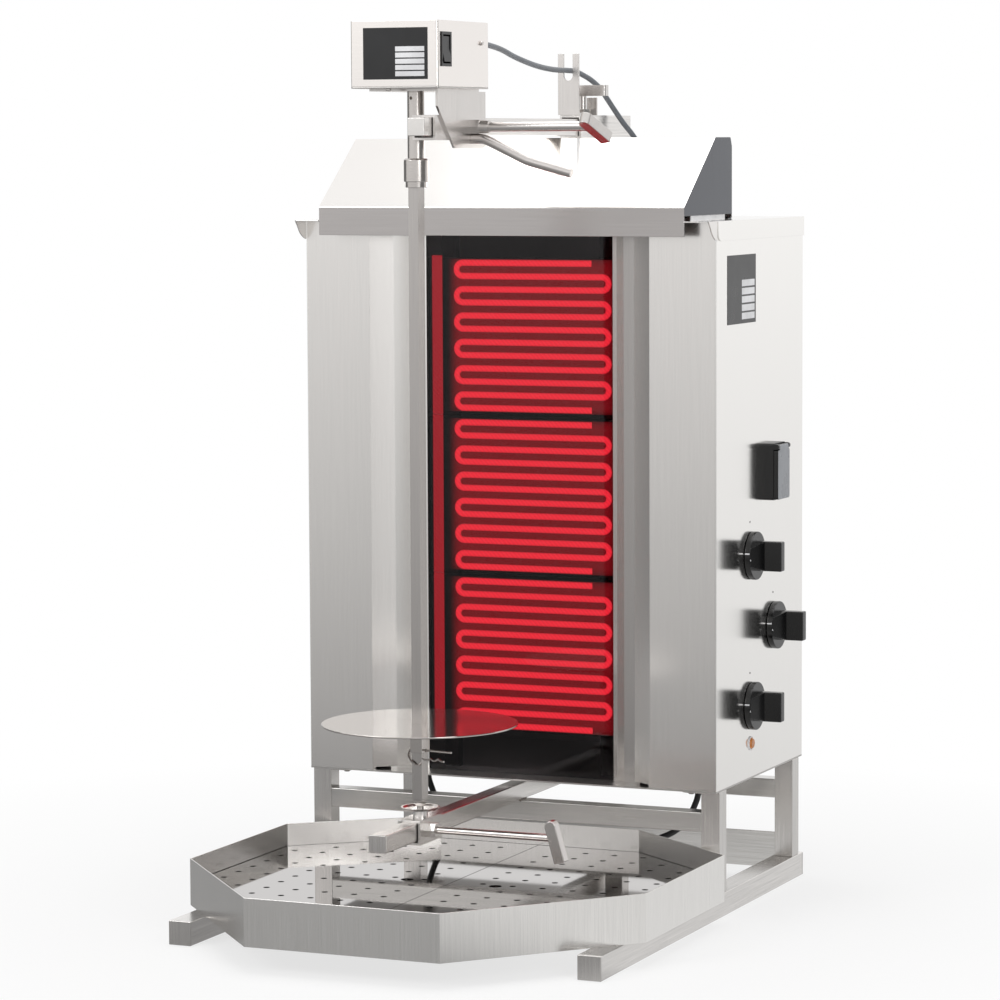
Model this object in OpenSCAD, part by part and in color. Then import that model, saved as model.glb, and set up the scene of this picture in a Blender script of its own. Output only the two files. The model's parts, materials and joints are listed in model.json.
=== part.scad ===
// Electric skewer grill: a tube stand carries a housing with three heater zones behind a
// glass. A motor carriage on a square arm turns a square spit from above, a slider on the
// lower bar carries the spit's pivot, and an eight-sided fat tray lies on the two rails.
// X runs to the right, Y away from the cook and Z up. The housing's front is the plane Y = 0.

/* [Stand] */
// Side of the square tube of the two floor rails
rail_w = 30; // [26:1:34]
// Wall of the rail tube
rail_wall = 2; // [1.5:0.5:3]
// Distance of a rail's centre line inside the housing's side
rail_inset = 13; // [10:0.5:16]
// How far the rails reach in front of the housing
rail_reach = 395; // [360:5:430]
// How far the rails reach behind the rear uprights
rail_tail = 16; // [5:1:30]
// Side of the square tube of the uprights, the crossbars and the mast
post_w = 25; // [22:1:28]
// Wall of that tube
post_wall = 2; // [1.5:0.5:3]
// How far an upright's centre stands outside its rail's centre
post_outset = 1.5; // [0:0.5:2.5]
// Front uprights behind the housing's front
post_setback = 10; // [5:1:20]
// Rear uprights in front of the housing's back
post_rear_inset = 15; // [5:1:40]
// Gap between the rails and the housing
leg_h = 130; // [120:2:150]
// Side of the square tubes that carry the two sliders
bar_w = 22; // [20:0.5:24]
// Wall of those tubes
bar_wall = 2; // [1.5:0.5:3]
// Gap between the lower bar and the housing
bar_headroom = 5; // [3:0.5:8]
// How far the lower bar reaches in front of the housing
lower_bar_reach = 400; // [380:5:430]
// Thickness of the welded end caps
cap_t = 3; // [2:0.5:4]
// Thickness of the low rear plate
rear_plate_t = 2; // [1.5:0.5:3]
// Lower edge of the rear plate above the floor
rear_plate_lift = 12; // [5:1:20]
// How far the rear plate rises above the rails
rear_plate_rise = 30; // [20:1:45]
// Length of a mounting tab
tab_l = 30; // [24:1:36]
// Thickness of a mounting tab
tab_t = 3; // [2:0.5:4]
// Diameter of the tab screws
tab_screw_d = 5; // [4:0.5:6]

/* [Housing] */
// Width of the housing over its side panels
housing_w = 566; // [540:2:600]
// Depth of the housing
housing_d = 330; // [310:2:360]
// Height of the housing from its base to the lid's top
housing_h = 718; // [700:1:760]
// Thickness of the housing's sheets
sheet_t = 1.5; // [1:0.25:2]
// Thickness of the base pan
pan_t = 2; // [1.5:0.25:3]
// Inner radius of the sheets' bends
bend_r = 1.5; // [1:0.5:2.5]
// Distance of a wing's bend beyond the window
wing_outset = 64.5; // [60:0.5:70]
// Width of a wing's slanted lip, seen from the front
lip_w = 27.5; // [22:0.5:30]
// Depth of a wing's slanted lip
lip_d = 17.5; // [14:0.5:20]
// How far a flank laps behind the lip
flank_lap = 8; // [5:1:10]
// Width of the flank's outer facet, seen from the front
facet_w = 18.5; // [15:0.5:20]
// Depth of the flank's bend behind the housing's front
facet_d = 28; // [26:0.5:30]
// Width of the flank's land that holds the glass
land_w = 5; // [3:0.5:7]
// Depth of the glass behind the housing's front
window_d = 39; // [37:0.5:42]
// Width of the window between the flanks
window_w = 259; // [250:1:264]
// Hem that closes the base below the lips, clear height
lip_lift = 4; // [2:0.5:8]
// Depth of the lid's skirts
skirt_h = 25; // [16:1:30]
// How far the lid's side skirts start behind its front
skirt_setback = 3; // [0:0.5:6]
// Radius of the skirts' lower front corner
skirt_r = 12; // [6:1:15]
// Gap round the mast where it passes the pan and the lid
mast_gap = 1.5; // [1:0.5:3]
// Ventilation slots in a row of the rear panel
vent_n = 9; // [5:2:13]
// Width of a ventilation slot
vent_w = 3.5; // [2.5:0.5:4]
// Length of a ventilation slot
vent_l = 60; // [40:5:80]
// Distance between ventilation slots
vent_pitch = 14; // [10:1:18]

/* [Hood] */
// Width of the hood
hood_w = 502; // [480:2:520]
// How far the hood's front stands before the housing
hood_reach = 28; // [20:1:34]
// Height of the hood's front band
band_h = 36.5; // [30:0.5:42]
// How far the band hangs below the lid's top
band_drop = 19; // [12:0.5:22]
// Height of the hood above the lid's top
hood_h = 104; // [95:0.5:125]
// Depth of the hood's polished slope
slope_d = 112; // [100:1:120]
// Room on the lid behind the hood, before its rear chamfer
hood_room = 190; // [180:1:200]
// Depth of the hood's rear chamfer
chamfer_d = 5; // [3:0.5:8]
// Height of the hood's rear chamfer
chamfer_h = 11.5; // [6:0.5:15]
// Foot of the hood's back on the lid
hood_foot_d = 14; // [10:1:20]
// Height of the strips that carry the hood's ends
upstand_h = 24; // [20:1:30]
// Height of the hood's ends above the lid
hood_end_lift = 6.5; // [4:0.5:18]

/* [Heaters] */
// Thickness of the glass
glass_t = 4; // [3:0.5:5]
// How far the glass reaches behind each flank's land
glass_lap = 10; // [7:0.5:12]
// Gap between the glass and the lid
glass_gap = 3; // [1:0.5:5]
// Number of heater zones
zones = 3; // [2:1:3]
// Distance between the zones' middles
zone_pitch = 206; // [200:1:212]
// Middle of the lowest zone above the base pan
zone_first = 155; // [150:1:160]
// Rows in a heater coil
coil_rows = 12; // [8:2:12]
// Distance between the coil's rows
coil_pitch = 17; // [14:0.5:17]
// Width of the coil's ribbon
coil_w = 9; // [6:0.5:11]
// Thickness of the coil's ribbon
coil_t = 1.6; // [1:0.1:2]
// Gap between the coil and the glass
coil_gap = 1.4; // [1:0.2:3]
// Left end of the coil
coil_left = 94; // [85:1:98]
// Right end of the coil
coil_right = 126; // [115:1:127]
// How far the coil's two ends stop short of its right turns
coil_stub = 28; // [20:1:40]
// Width of the return ribbon beside the coil
return_w = 14; // [8:1:16]
// Outer edge of the return ribbon
return_x = 124; // [120:1:126]
// Thickness of an insulation board
board_t = 20; // [15:1:25]
// Width of a heater pan
heater_pan_w = 260; // [258:1:270]
// Height of a heater pan
heater_pan_h = 200; // [196:1:200]
// Width of the rails that carry the heater pans
heater_rail_w = 20; // [15:1:30]
// Distance of the heater rails from the middle
heater_rail_x = 100; // [80:1:110]

/* [Right side] */
// Diameter of a knob's disc
knob_d = 62; // [50:1:70]
// Thickness of a knob's disc
knob_disc_t = 7.5; // [5:0.5:10]
// Length of a knob's grip bar
grip_l = 34; // [24:1:40]
// Thickness of a knob's grip bar
grip_t = 14; // [10:1:18]
// Height of a knob's grip bar
grip_h = 38; // [30:1:46]
// Diameter of a regulator's shaft
shaft_d = 6; // [5:0.5:8]
// Depth of the knobs of the outer zones behind the housing's front
knob_y = 133; // [110:1:140]
// Depth of the middle zone's knob
knob_mid_y = 218; // [200:1:240]
// Lowest knob above the base pan
knob_first = 92; // [85:1:110]
// Distance between knobs, measured upwards
knob_pitch = 97; // [85:1:105]
// How far the middle knob sits below the even pitch
knob_mid_drop = 2; // [0:0.5:4]
// Depth of the indicator lamp
lamp_y = 127.5; // [110:0.5:140]
// Height of the indicator lamp above the base pan
lamp_z = 44; // [40:1:48]
// Diameter of the lamp's lens
lamp_d = 18; // [14:0.5:20]
// Depth of the socket outlet's middle
socket_y = 200.5; // [190:0.5:220]
// Height of the socket outlet's middle above the base pan
socket_z = 390; // [380:1:420]
// Width of the socket outlet
socket_w = 45; // [42:1:55]
// Height of the socket outlet
socket_h = 73.5; // [70:0.5:85]
// Thickness of the socket outlet's base
socket_t = 13; // [11:0.5:18]
// Diameter of the socket outlet's well
well_d = 36; // [30:1:38]
// Thickness of the flap's wall
flap_wall = 2; // [1.5:0.5:3]

/* [Arm] */
// Distance of the arm beside the spit's axis
arm_x = 28.5; // [27:0.5:32]
// Gap between the arm and the hood
arm_lift = 2.5; // [1.5:0.5:10]
// How far the arm reaches in front of the spit's axis
arm_nose = 63; // [60:1:80]
// Outer side of the sleeves on the bars
sleeve_w = 30; // [29:0.5:33]
// Wall of the sleeves
sleeve_wall = 3; // [2:0.25:3]
// Length of the arm's socket on the mast
socket_sleeve_l = 175; // [150:1:185]
// How far that socket reaches behind the mast
sleeve_tail = 5; // [2:1:20]
// Free end of the arm inside its socket
arm_tail_gap = 22; // [10:1:40]
// Thickness of the brackets' plate
plate_t = 3; // [2:0.25:4]
// Height of the cable fork above its foot
fork_h = 79; // [70:1:90]
// Width of the fork's slot
fork_slot_w = 12.5; // [10:0.5:14]
// Depth of the fork's slot
fork_slot_d = 28; // [20:1:36]
// Diameter of the clamp screw on the arm's socket
head_screw_d = 10; // [8:0.5:12]
// Distance of that screw behind the socket's mouth
head_screw_y = 42; // [36:1:50]
// Height of that screw above the socket
head_screw_h = 25; // [22:1:32]
// Length of the flat lever on that screw
head_lever_l = 42; // [36:1:50]

/* [Carriage] */
// Distance of the spit's axis in front of the housing
spit_reach = 275; // [260:1:290]
// How far the carriage's sleeve reaches in front of the spit's axis
sleeve_nose = 40; // [30:1:45]
// Length of the carriage's sleeve
carriage_l = 135; // [115:1:150]
// Air between sliding faces
film = 0.05; // [0.02:0.01:0.1]
// Gap between a bar and its sleeve
slide_gap = 1; // [0.5:0.1:1.5]
// Height of the cheek plate above the arm's middle
cheek_up = 45.5; // [42:0.5:55]
// Depth of the cheek plate below the arm's middle
cheek_down = 25.5; // [20:0.5:30]
// Width of the motor cover
box_w = 114; // [104:1:120]
// Depth of the motor cover
box_d = 151; // [140:1:160]
// Height of the motor cover
box_h = 80; // [72:1:90]
// How far the motor cover reaches in front of the spit's axis
box_nose = 66; // [60:1:72]
// Radius of the cover's upright edges
box_r = 3; // [2:0.5:6]
// Thickness of the motor's base plate
base_t = 2; // [1.5:0.5:3]
// Width of the gear housing under the cover
gearbox_w = 70; // [60:1:80]
// Length of the gear housing
gearbox_l = 105; // [90:1:110]
// Height of the gear housing
gearbox_h = 24; // [20:1:28]
// Diameter of the motor on the gear housing
motor_d = 60; // [50:1:64]
// Height of that motor
motor_h = 38; // [30:1:42]
// Distance of the motor's axis behind the spit's axis
motor_y = 28; // [22:1:34]
// Depth of the gear housing's output bore
output_l = 18; // [14:1:20]
// Width of the rocker switch
switch_w = 25; // [20:0.5:28]
// Height of the rocker switch
switch_h = 38; // [32:0.5:42]
// Diameter of the upper clamp screw
upper_rod_d = 12; // [10:0.5:13]
// Right end of the upper clamp screw
upper_rod_x = 204; // [195:1:220]
// Distance of the upper clamp screw behind the spit's axis
upper_rod_y = 62; // [55:1:75]
// Turn of the upper clamp's lever about its screw
upper_lever_turn = 60; // [0:5:90]
// Diameter of the pull handle
handle_d = 10; // [8:0.5:10]
// Length of the pull handle's steep part
handle_run = 62; // [50:1:70]
// Length of the pull handle's outer part
handle_end = 60; // [40:1:66]
// Straight stretch of the handle beside the plate
handle_bend = 16; // [12:1:25]
// Fall of the handle's middle stretch, in degrees
handle_fall = 25; // [10:1:40]
// Diameter of the clamp levers' square bar and its rounded end
lever_w = 14; // [11:0.5:16]
// Length of a clamp lever above its screw
lever_up = 22; // [16:1:26]
// Length of a clamp lever below its screw
lever_down = 30; // [24:1:40]
// Lean of a clamp lever from its screw's normal
lever_lean = 16; // [0:1:25]

/* [Spit] */
// Side of the square spit
spit_w = 14; // [12:0.5:15]
// Turn of the spit about its axis at rest
spit_turn = -10; // [-45:5:45]
// Gap between the spit and what it slides in
spit_gap = 0.15; // [0.1:0.05:0.3]
// Diameter of the drive shaft
drive_d = 20.5; // [16:0.5:24]
// Diameter of the coupling
coupling_d = 30; // [27:0.5:34]
// Diameter of the coupling's lower ring
ring_d = 26; // [24.5:0.5:27]
// Length of the coupling
coupling_h = 35; // [30:1:45]
// Length of the coupling's lower ring
ring_h = 7; // [4:0.5:10]
// Top of the coupling below the motor's base plate
drive_drop = 83; // [75:1:95]
// Wall between the coupling's socket and the shaft
web_t = 2; // [1:0.5:4]
// How far the spit can be lifted
lift = 15; // [12:0.5:16]
// Diameter of the spit's pivot
pivot_d = 8; // [6:0.5:9]
// Length of the spit's pivot
pivot_h = 9; // [7:0.5:10]
// Height of the taper above the pivot
taper_h = 10; // [6:0.5:14]
// Diameter of the meat plate
plate_d = 240; // [200:5:260]
// Thickness of the meat plate
plate_disc_t = 2; // [1.5:0.25:3]
// Top of the meat plate above the lower bar
plate_z = 118; // [110:1:140]
// Length of the meat plate's hub
hub_h = 34; // [28:1:45]
// Wall of the hub
hub_wall = 1.5; // [1:0.25:2]
// Diameter of the spring clip's wire
clip_d = 2.5; // [2:0.25:3]
// Length of the clip's straight leg in front of the spit
clip_leg = 46; // [36:1:50]

/* [Lower slider] */
// How far the slider's sleeve reaches in front of the spit's axis
slider_nose = 34; // [30:1:40]
// Length of the slider's sleeve
slider_l = 64; // [56:1:80]
// Diameter of the pivot dish
dish_d = 48; // [40:1:56]
// Height of the dish's rim above its collar
dish_h = 3; // [2:0.5:5]
// Diameter of the dish's collar
collar_d = 18; // [14:0.5:22]
// Height of the dish's collar
collar_h = 9; // [7:0.5:12]
// Diameter of the lower clamp screw
lower_rod_d = 9; // [8:0.5:10]
// Right end of the lower clamp screw
lower_rod_x = 181; // [165:1:200]
// Distance of the lower clamp screw in front of the spit's axis
lower_rod_y = 8; // [0:1:12]

/* [Tray] */
// How far the tray reaches outside the rails' centre lines
tray_overhang = 35; // [25:1:45]
// Depth of the tray in front of the housing
tray_reach = 502; // [470:2:520]
// How far the tray reaches under the housing
tray_tuck = 99; // [80:1:110]
// Width of the tray's front corners
front_cut_w = 178; // [150:2:190]
// Depth of the tray's front corners
front_cut_d = 202; // [170:2:220]
// Width of the tray's rear corners
rear_cut_w = 164; // [150:2:190]
// Depth of the tray's rear corners
rear_cut_d = 129; // [120:1:150]
// Height of the tray's wall
tray_h = 59; // [50:1:64]
// Thickness of the tray's sheet
tray_t = 1.5; // [1:0.25:2]
// Gap between the tray's wall and the insert
insert_gap = 1.5; // [1:0.5:4]
// Height of the insert above the tray's floor
insert_h = 28; // [20:1:36]
// Gap between the insert's two halves
seam_gap = 1; // [0.5:0.25:2]
// Diameter of the insert's drain holes
drain_d = 8; // [6:0.5:10]
// Distance between drain holes
drain_pitch = 40; // [32:1:44]
// First row of drain holes in front of the housing
drain_row = 17; // [10:1:25]
// Diameter of the finger holes
finger_d = 16; // [12:1:20]
// Distance of the finger holes from the middle
finger_x = 60; // [55:1:65]
// Distance of the finger holes in front of the housing
finger_y = 185; // [180:1:192]

/* [Cables] */
// Diameter of the motor's cable
motor_cable_d = 7; // [5:0.5:7.5]
// Diameter of the looped cable under the housing
under_cable_d = 8; // [6:0.5:9]
// Height of a cable gland
gland_h = 14; // [10:1:18]
// Width of a cable gland
gland_d = 20; // [16:1:24]

/* [Hidden] */
$fn = 48;
cord_sides = 10;
bend_steps = 4;
run_gap = 0.05;

// Heights
base_z = rail_w + leg_h;
floor_z = base_z + pan_t;
lid_z = base_z + housing_h;
roof_z = lid_z - sheet_t;
wall_h = roof_z - floor_z;
hood_z = lid_z + hood_h;
hood_back = housing_d - hood_room;
upstand_l = hood_back - hood_foot_d - 2 * sheet_t;
arm_z = hood_z + arm_lift + bar_w / 2;
bar_top = base_z - bar_headroom;
bar_z = bar_top - bar_w / 2;
crossbar_top = bar_top - bar_w;
crossbar_z = crossbar_top - post_w / 2;

// Places in plan
side_x = housing_w / 2;
rail_x = side_x - rail_inset;
post_x = rail_x + post_outset;
post_in = post_x - post_w / 2;
rear_post_y = housing_d - post_rear_inset - post_w;
rail_end = rear_post_y + post_w + rail_tail;
spit_y = -spit_reach;

// Wing, lip and flank in plan
window_x = window_w / 2;
wing_x = window_x + wing_outset;
lip_end = [wing_x - lip_w, lip_d];
lip_dir = unit(lip_end - [wing_x, 0]);
lip_back = lip_end - (sheet_t + film) * left_of(lip_dir);
glass_x = window_x + glass_lap;
glass_back = window_d + glass_t;

// Heaters
board_y = glass_back + coil_gap + coil_t;
heater_back = board_y + board_t + sheet_t;
coil_h = (coil_rows - 1) * coil_pitch;
strip_gap = 0.5;

// Right side
knobs = [
    [knob_y, floor_z + knob_first],
    [knob_mid_y, floor_z + knob_first + knob_pitch - knob_mid_drop],
    [knob_y, floor_z + knob_first + 2 * knob_pitch]
];
panel_gap = 0.5;
neck_d = shaft_d + 4;
grip_z = side_x + panel_gap + knob_disc_t;
flap_x = side_x + socket_t + panel_gap;
flap_t = 6;
hinge_d = 7;
hinge_pin_d = 3;
hinge_z = floor_z + socket_z + socket_h / 2 - hinge_d / 2 - 1;
hinge_x = flap_x + hinge_d / 2;
ear_w = 5;

// Arm, its socket and its clamp
sleeve_in = sleeve_w - 2 * sleeve_wall;
rest_gap = (sleeve_in - bar_w) / 2;
socket_end = rear_post_y + post_w + sleeve_tail;
socket_mouth = socket_end - socket_sleeve_l;
socket_mid = arm_z + rest_gap;
socket_top = socket_mid + sleeve_w / 2;
mast_top = socket_mid - sleeve_w / 2;
arm_front = spit_y - arm_nose;
arm_end = socket_end - arm_tail_gap;
head_y = socket_mouth + head_screw_y;
head_lever_z = socket_top + head_screw_h;
head_lever_t = 14;

// Carriage
carriage_front = spit_y - sleeve_nose;
carriage_z = arm_z - rest_gap + film;
cheek_x = arm_x + sleeve_w / 2;
box_z = arm_z + cheek_up;
box_x = -55;
box_front = spit_y - box_nose;
switch_y = box_front + 11 + switch_w / 2;
switch_z = box_z + box_h / 2 + 6;
rocker_x = box_x + box_w - 3;
rocker_pin_d = 2;
grommet_d = motor_cable_d + 4;
upper_y = spit_y + upper_rod_y;
nut_t = 11.5;
boss_t = 12;
nut_af = 17;

// Spindle, spit and meat plate
coupling_top = box_z - drive_drop;
coupling_z = coupling_top - coupling_h;
socket_roof = coupling_top - web_t;
spit_top = socket_roof - lift - 1;
slider_z = bar_z - rest_gap + film;
slider_top = slider_z + sleeve_w / 2;
pivot_z = slider_top + collar_h - pivot_h + dish_h + 1;
disc_top = bar_top + plate_z;
hub_z = disc_top - plate_disc_t - hub_h;
hub_w = spit_w + 2 * spit_gap + 2 * hub_wall;
clip_z = hub_z + clip_d / 2 + 1.5;
clip_hole_d = clip_d + 0.5;
slider_front = spit_y - slider_nose;
lower_y = spit_y - lower_rod_y;

// Tray
tray_x = rail_x + tray_overhang;
tray_plan = [
    [tray_x, -tray_reach + front_cut_d], [tray_x, tray_tuck - rear_cut_d],
    [tray_x - rear_cut_w, tray_tuck], [rear_cut_w - tray_x, tray_tuck],
    [-tray_x, tray_tuck - rear_cut_d], [-tray_x, -tray_reach + front_cut_d],
    [front_cut_w - tray_x, -tray_reach], [tray_x - front_cut_w, -tray_reach]
];
tray_floor = rail_w + tray_t;
insert_z = tray_floor + insert_h - tray_t;
insert_inset = tray_t + insert_gap;

// The frame's origin lies under the middle of the object's box
origin_x = (grip_z + grip_l - tray_x) / 2;
origin_y = (housing_d + sheet_t - tray_reach) / 2;

// Routes of the two cables
motor_route = [
    [40, -183, 1096], [40, -160, 1096], [39, -130, 1094], [37, -95, 1090],
    [35, -60, 1084], [34, -20, 1078], [32, 25, 1073], [30, 70, 1070],
    [28, 110, 1069], [28, 137, 1069], [31, 155, 1068], [35, 175, 1063],
    [39, 195, 1056], [43, 213, 1046], [46, 228, 1034], [51, 244, 1018],
    [58, 258, 1001], [67, 271, 984], [75, 281, 964], [81, 287, 942],
    [84, 290, 922], [84, 290, 906], [84, 290, 892]
];
under_route = [
    [-182, 150, 146], [-182, 150, 132], [-177, 150, 116], [-169, 150, 99],
    [-155, 150, 83], [-134, 150, 71], [-108, 150, 62], [-78, 150, 56],
    [-45, 150, 52], [-10, 150, 50], [25, 150, 50], [60, 150, 52],
    [94, 150, 56], [125, 150, 62], [152, 150, 71], [174, 150, 83],
    [189, 150, 99], [198, 150, 116], [203, 150, 132], [203, 150, 146]
];

// ---- Geometry helpers ----

function unit(v) = v / norm(v);
function left_of(v) = [-v[1], v[0]];

// Direction of a path's leg i
function leg(path, i) = unit(path[i + 1] - path[i]);

// A path's points with each inner corner turned into an arc of radius r
function corner_arc(a, b, c, r) =
    let (u = unit(a - b), v = unit(c - b), half = acos(u * v) / 2)
    let (centre = b + unit(u + v) * r / sin(half))
    let (p = b + u * r / tan(half), q = b + v * r / tan(half))
    [for (k = [0:bend_steps]) centre + r * unit((p - centre) * (1 - k / bend_steps)
        + (q - centre) * k / bend_steps)];
function rounded(path, r) = [
    path[0],
    for (i = [1:len(path) - 2]) each corner_arc(path[i - 1], path[i], path[i + 1], r),
    path[len(path) - 1]
];

// A path moved sideways by t to its left, with mitred corners
function moved(path, t) = [
    for (i = [0:len(path) - 1])
        let (a = left_of(leg(path, max(i - 1, 0))))
        let (b = left_of(leg(path, min(i, len(path) - 2))))
        path[i] + t * (a + b) / (1 + a * b)
];

// Outline of a bent sheet of thickness t to the right of a path
function bent_sheet(path, t) =
    let (back = moved(path, -t))
    concat(path, [for (i = [len(path) - 1:-1:0]) back[i]]);

// A closed outline drawn in by d
function drawn_in(plan, d) = [
    for (i = [0:len(plan) - 1])
        let (n = len(plan), p = plan[i])
        let (a = left_of(unit(p - plan[(i + n - 1) % n])))
        let (b = left_of(unit(plan[(i + 1) % n] - p)))
        p + d * (a + b) / (1 + a * b)
];

// How far a point lies inside a convex outline
function inside_by(plan, p) = min([
    for (i = [0:len(plan) - 1])
        let (a = plan[i], b = plan[(i + 1) % len(plan)])
        left_of(unit(b - a)) * (p - a)
]);

// Rings of a round tube along a route, none of whose legs lies along ref
function heading(route, i) =
    unit(route[min(i + 1, len(route) - 1)] - route[max(i - 1, 0)]);
function ring(p, t, ref, r) =
    let (a = unit(cross(t, ref)), b = cross(t, a))
    [for (k = [0:cord_sides - 1])
        p + r * (cos(360 * k / cord_sides) * a + sin(360 * k / cord_sides) * b)];

module swept(route, d, ref) {
    n = cord_sides;
    last = len(route) - 1;
    points = [
        for (i = [0:last])
            let (t = i == 0 ? unit(route[1] - route[0])
                : i == last ? unit(route[last] - route[last - 1]) : heading(route, i))
            each ring(route[i], t, ref, d / 2)
    ];
    sides = [
        for (i = [0:last - 1], k = [0:n - 1])
            let (a = i * n + k, b = i * n + (k + 1) % n)
            each [[a, a + n, b + n], [a, b + n, b]]
    ];
    caps = [
        [for (k = [0:n - 1]) k],
        [for (k = [0:n - 1]) last * n + n - 1 - k]
    ];
    polyhedron(points, concat(caps, sides));
}

// Puts the plan's places into the frame with the origin under the object's middle
module placed() {
    translate([-origin_x, -origin_y, 0]) children();
}

// A flat plate in the XZ plane from y to y + t
module plate_xz(y, t) {
    translate([0, y + t, 0]) rotate([90, 0, 0]) linear_extrude(t) children();
}

// A flat plate in the YZ plane from x to x + t
module plate_yz(x, t) {
    translate([x, 0, 0]) rotate([90, 0, 90]) linear_extrude(t) children();
}

// A flat plate from z to z + t
module plate_xy(z, t) {
    translate([0, 0, z]) linear_extrude(t) children();
}

module box(low, high) {
    translate(low) cube(high - low);
}

module both_sides() {
    children();
    mirror([1, 0, 0]) children();
}

module square_ring(w, wall) {
    difference() {
        square(w, center = true);
        square(w - 2 * wall, center = true);
    }
}

// Square tube along Z, Y or X from the origin
module tube_z(l, w, wall) {
    linear_extrude(l) square_ring(w, wall);
}

module tube_y(l, w, wall) {
    rotate([-90, 0, 0]) tube_z(l, w, wall);
}

module tube_x(l, w, wall) {
    rotate([0, 90, 0]) tube_z(l, w, wall);
}

module rod_x(x0, x1, d) {
    translate([x0, 0, 0]) rotate([0, 90, 0]) cylinder(d = d, h = x1 - x0);
}

// Hexagon along X with flats above and below
module hex_x(x0, x1, af) {
    translate([x0, 0, 0]) rotate([0, 90, 0]) rotate(30)
        cylinder(d = af / cos(30), h = x1 - x0, $fn = 6);
}

module round_square(w, l, r) {
    translate([r, 0]) square([w - 2 * r, l]);
    translate([0, r]) square([w, l - 2 * r]);
    for (x = [r, w - r], y = [r, l - r]) translate([x, y]) circle(r);
}

// ---- Stand ----

module rail(side) {
    color("silver") placed()
        translate([side * rail_x, cap_t - rail_reach, rail_w / 2])
            tube_y(rail_end + rail_reach - 2 * cap_t, rail_w, rail_wall);
}

module rail_left() {
    rail(-1);
}

module rail_right() {
    rail(1);
}

module end_caps() {
    color("silver") placed() {
        for (x = [-rail_x, rail_x], y = [-rail_reach, rail_end - cap_t])
            translate([x - rail_w / 2, y, 0]) cube([rail_w, cap_t, rail_w]);
        for (y = [-lower_bar_reach, rear_post_y + post_w - cap_t])
            translate([-bar_w / 2, y, crossbar_top]) cube([bar_w, cap_t, bar_w]);
    }
}

module at_tabs() {
    for (y = [post_setback, rear_post_y])
        both_sides() translate([post_in - tab_l, y, base_z - tab_t]) children();
}

// Four uprights, each with a tab that a screw holds to the base pan
module uprights() {
    color("silver") placed() {
        for (x = [-post_x, post_x], y = [post_setback, rear_post_y])
            translate([x, y + post_w / 2, rail_w]) tube_z(leg_h, post_w, post_wall);
        at_tabs() linear_extrude(tab_t) difference() {
            union() {
                translate([post_w / 2, 0]) square([tab_l - post_w / 2, post_w]);
                translate([post_w / 2, post_w / 2]) circle(post_w / 2);
            }
            translate([post_w / 2, post_w / 2]) circle(d = tab_screw_d + 0.5);
        }
    }
}

module crossbars() {
    color("silver") placed()
        for (y = [post_setback, rear_post_y])
            translate([-post_in, y + post_w / 2, crossbar_z])
                tube_x(2 * post_in, post_w, post_wall);
}

// Plate that ties the rails and the rear uprights, stepped where the rails end
module rear_plate() {
    rail_in = rail_x - rail_w / 2;
    color("gray") placed() plate_xz(rear_post_y + post_w / 2, rear_plate_t) {
        translate([-rail_in, rear_plate_lift]) square([2 * rail_in, rail_w - rear_plate_lift]);
        translate([-post_in, rail_w]) square([2 * post_in, rear_plate_rise]);
    }
}

module lower_bar() {
    color("silver") placed() translate([0, cap_t - lower_bar_reach, bar_z])
        tube_y(lower_bar_reach + rear_post_y + post_w - 2 * cap_t, bar_w, bar_wall);
}

module tab_screws() {
    color("gray") placed() at_tabs() translate([post_w / 2, post_w / 2, 0]) {
        cylinder(d = tab_screw_d, h = tab_t + pan_t + 3);
        mirror([0, 0, 1]) cylinder(d1 = 2 * tab_screw_d, d2 = 1.4 * tab_screw_d, h = 3);
    }
}

module mast() {
    color("silver") placed()
        translate([arm_x, rear_post_y + post_w / 2, crossbar_top])
            tube_z(mast_top - crossbar_top, post_w, post_wall);
}

// Sleeve on the mast that holds the arm, with the clamp's nut and a stop lug
module arm_socket() {
    lug_w = 14;
    color("silver") placed() difference() {
        union() {
            translate([arm_x, socket_mouth, socket_mid])
                tube_y(socket_sleeve_l, sleeve_w, sleeve_wall);
            translate([arm_x, head_y, socket_top])
                cylinder(d = nut_af / cos(30), h = 8, $fn = 6);
            box([cheek_x - lug_w, head_y + 12, socket_top],
                [cheek_x, head_y + 12 + plate_t, head_lever_z - 2]);
        }
        translate([arm_x, head_y, socket_mid])
            cylinder(d = head_screw_d + 2 * run_gap, h = sleeve_w + 8);
    }
}

module arm_bar() {
    color("silver") placed() {
        translate([arm_x, arm_front + cap_t, arm_z])
            tube_y(arm_end - arm_front - cap_t, bar_w, bar_wall);
        translate([arm_x - bar_w / 2, arm_front, arm_z - bar_w / 2])
            cube([bar_w, cap_t, bar_w]);
    }
}

// Forked plate before the socket's mouth that carries the motor's cable
module cable_fork() {
    x0 = arm_x - sleeve_w / 2 + 0.5;
    w = sleeve_w - 1;
    y0 = socket_mouth - 7;
    flange_h = fork_h * 0.58;
    color("silver") placed() {
        plate_xz(y0, plate_t) difference() {
            translate([x0, socket_top]) square([w, fork_h]);
            translate([x0 + 8, socket_top + fork_h - fork_slot_d])
                square([fork_slot_w, fork_slot_d + 1]);
            translate([x0 + 8 + fork_slot_w / 2, socket_top + fork_h - fork_slot_d])
                circle(d = fork_slot_w);
        }
        box([x0, y0 + plate_t, socket_top], [x0 + w, y0 + plate_t + 24, socket_top + plate_t]);
        plate_yz(x0, plate_t) polygon([
            [y0 + plate_t, socket_top], [y0 + plate_t + 20, socket_top],
            [y0 + plate_t + 20, socket_top + flange_h - 14],
            [y0 + plate_t, socket_top + flange_h]
        ]);
        translate([x0 - 3, y0 + 13, socket_top + 31]) rod_x(0, plate_t + 8, 5);
        translate([x0, y0 + 13, socket_top + 31]) rotate([0, -90, 0])
            cylinder(d1 = 9, d2 = 6, h = 3);
    }
}

// ---- Housing ----

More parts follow.
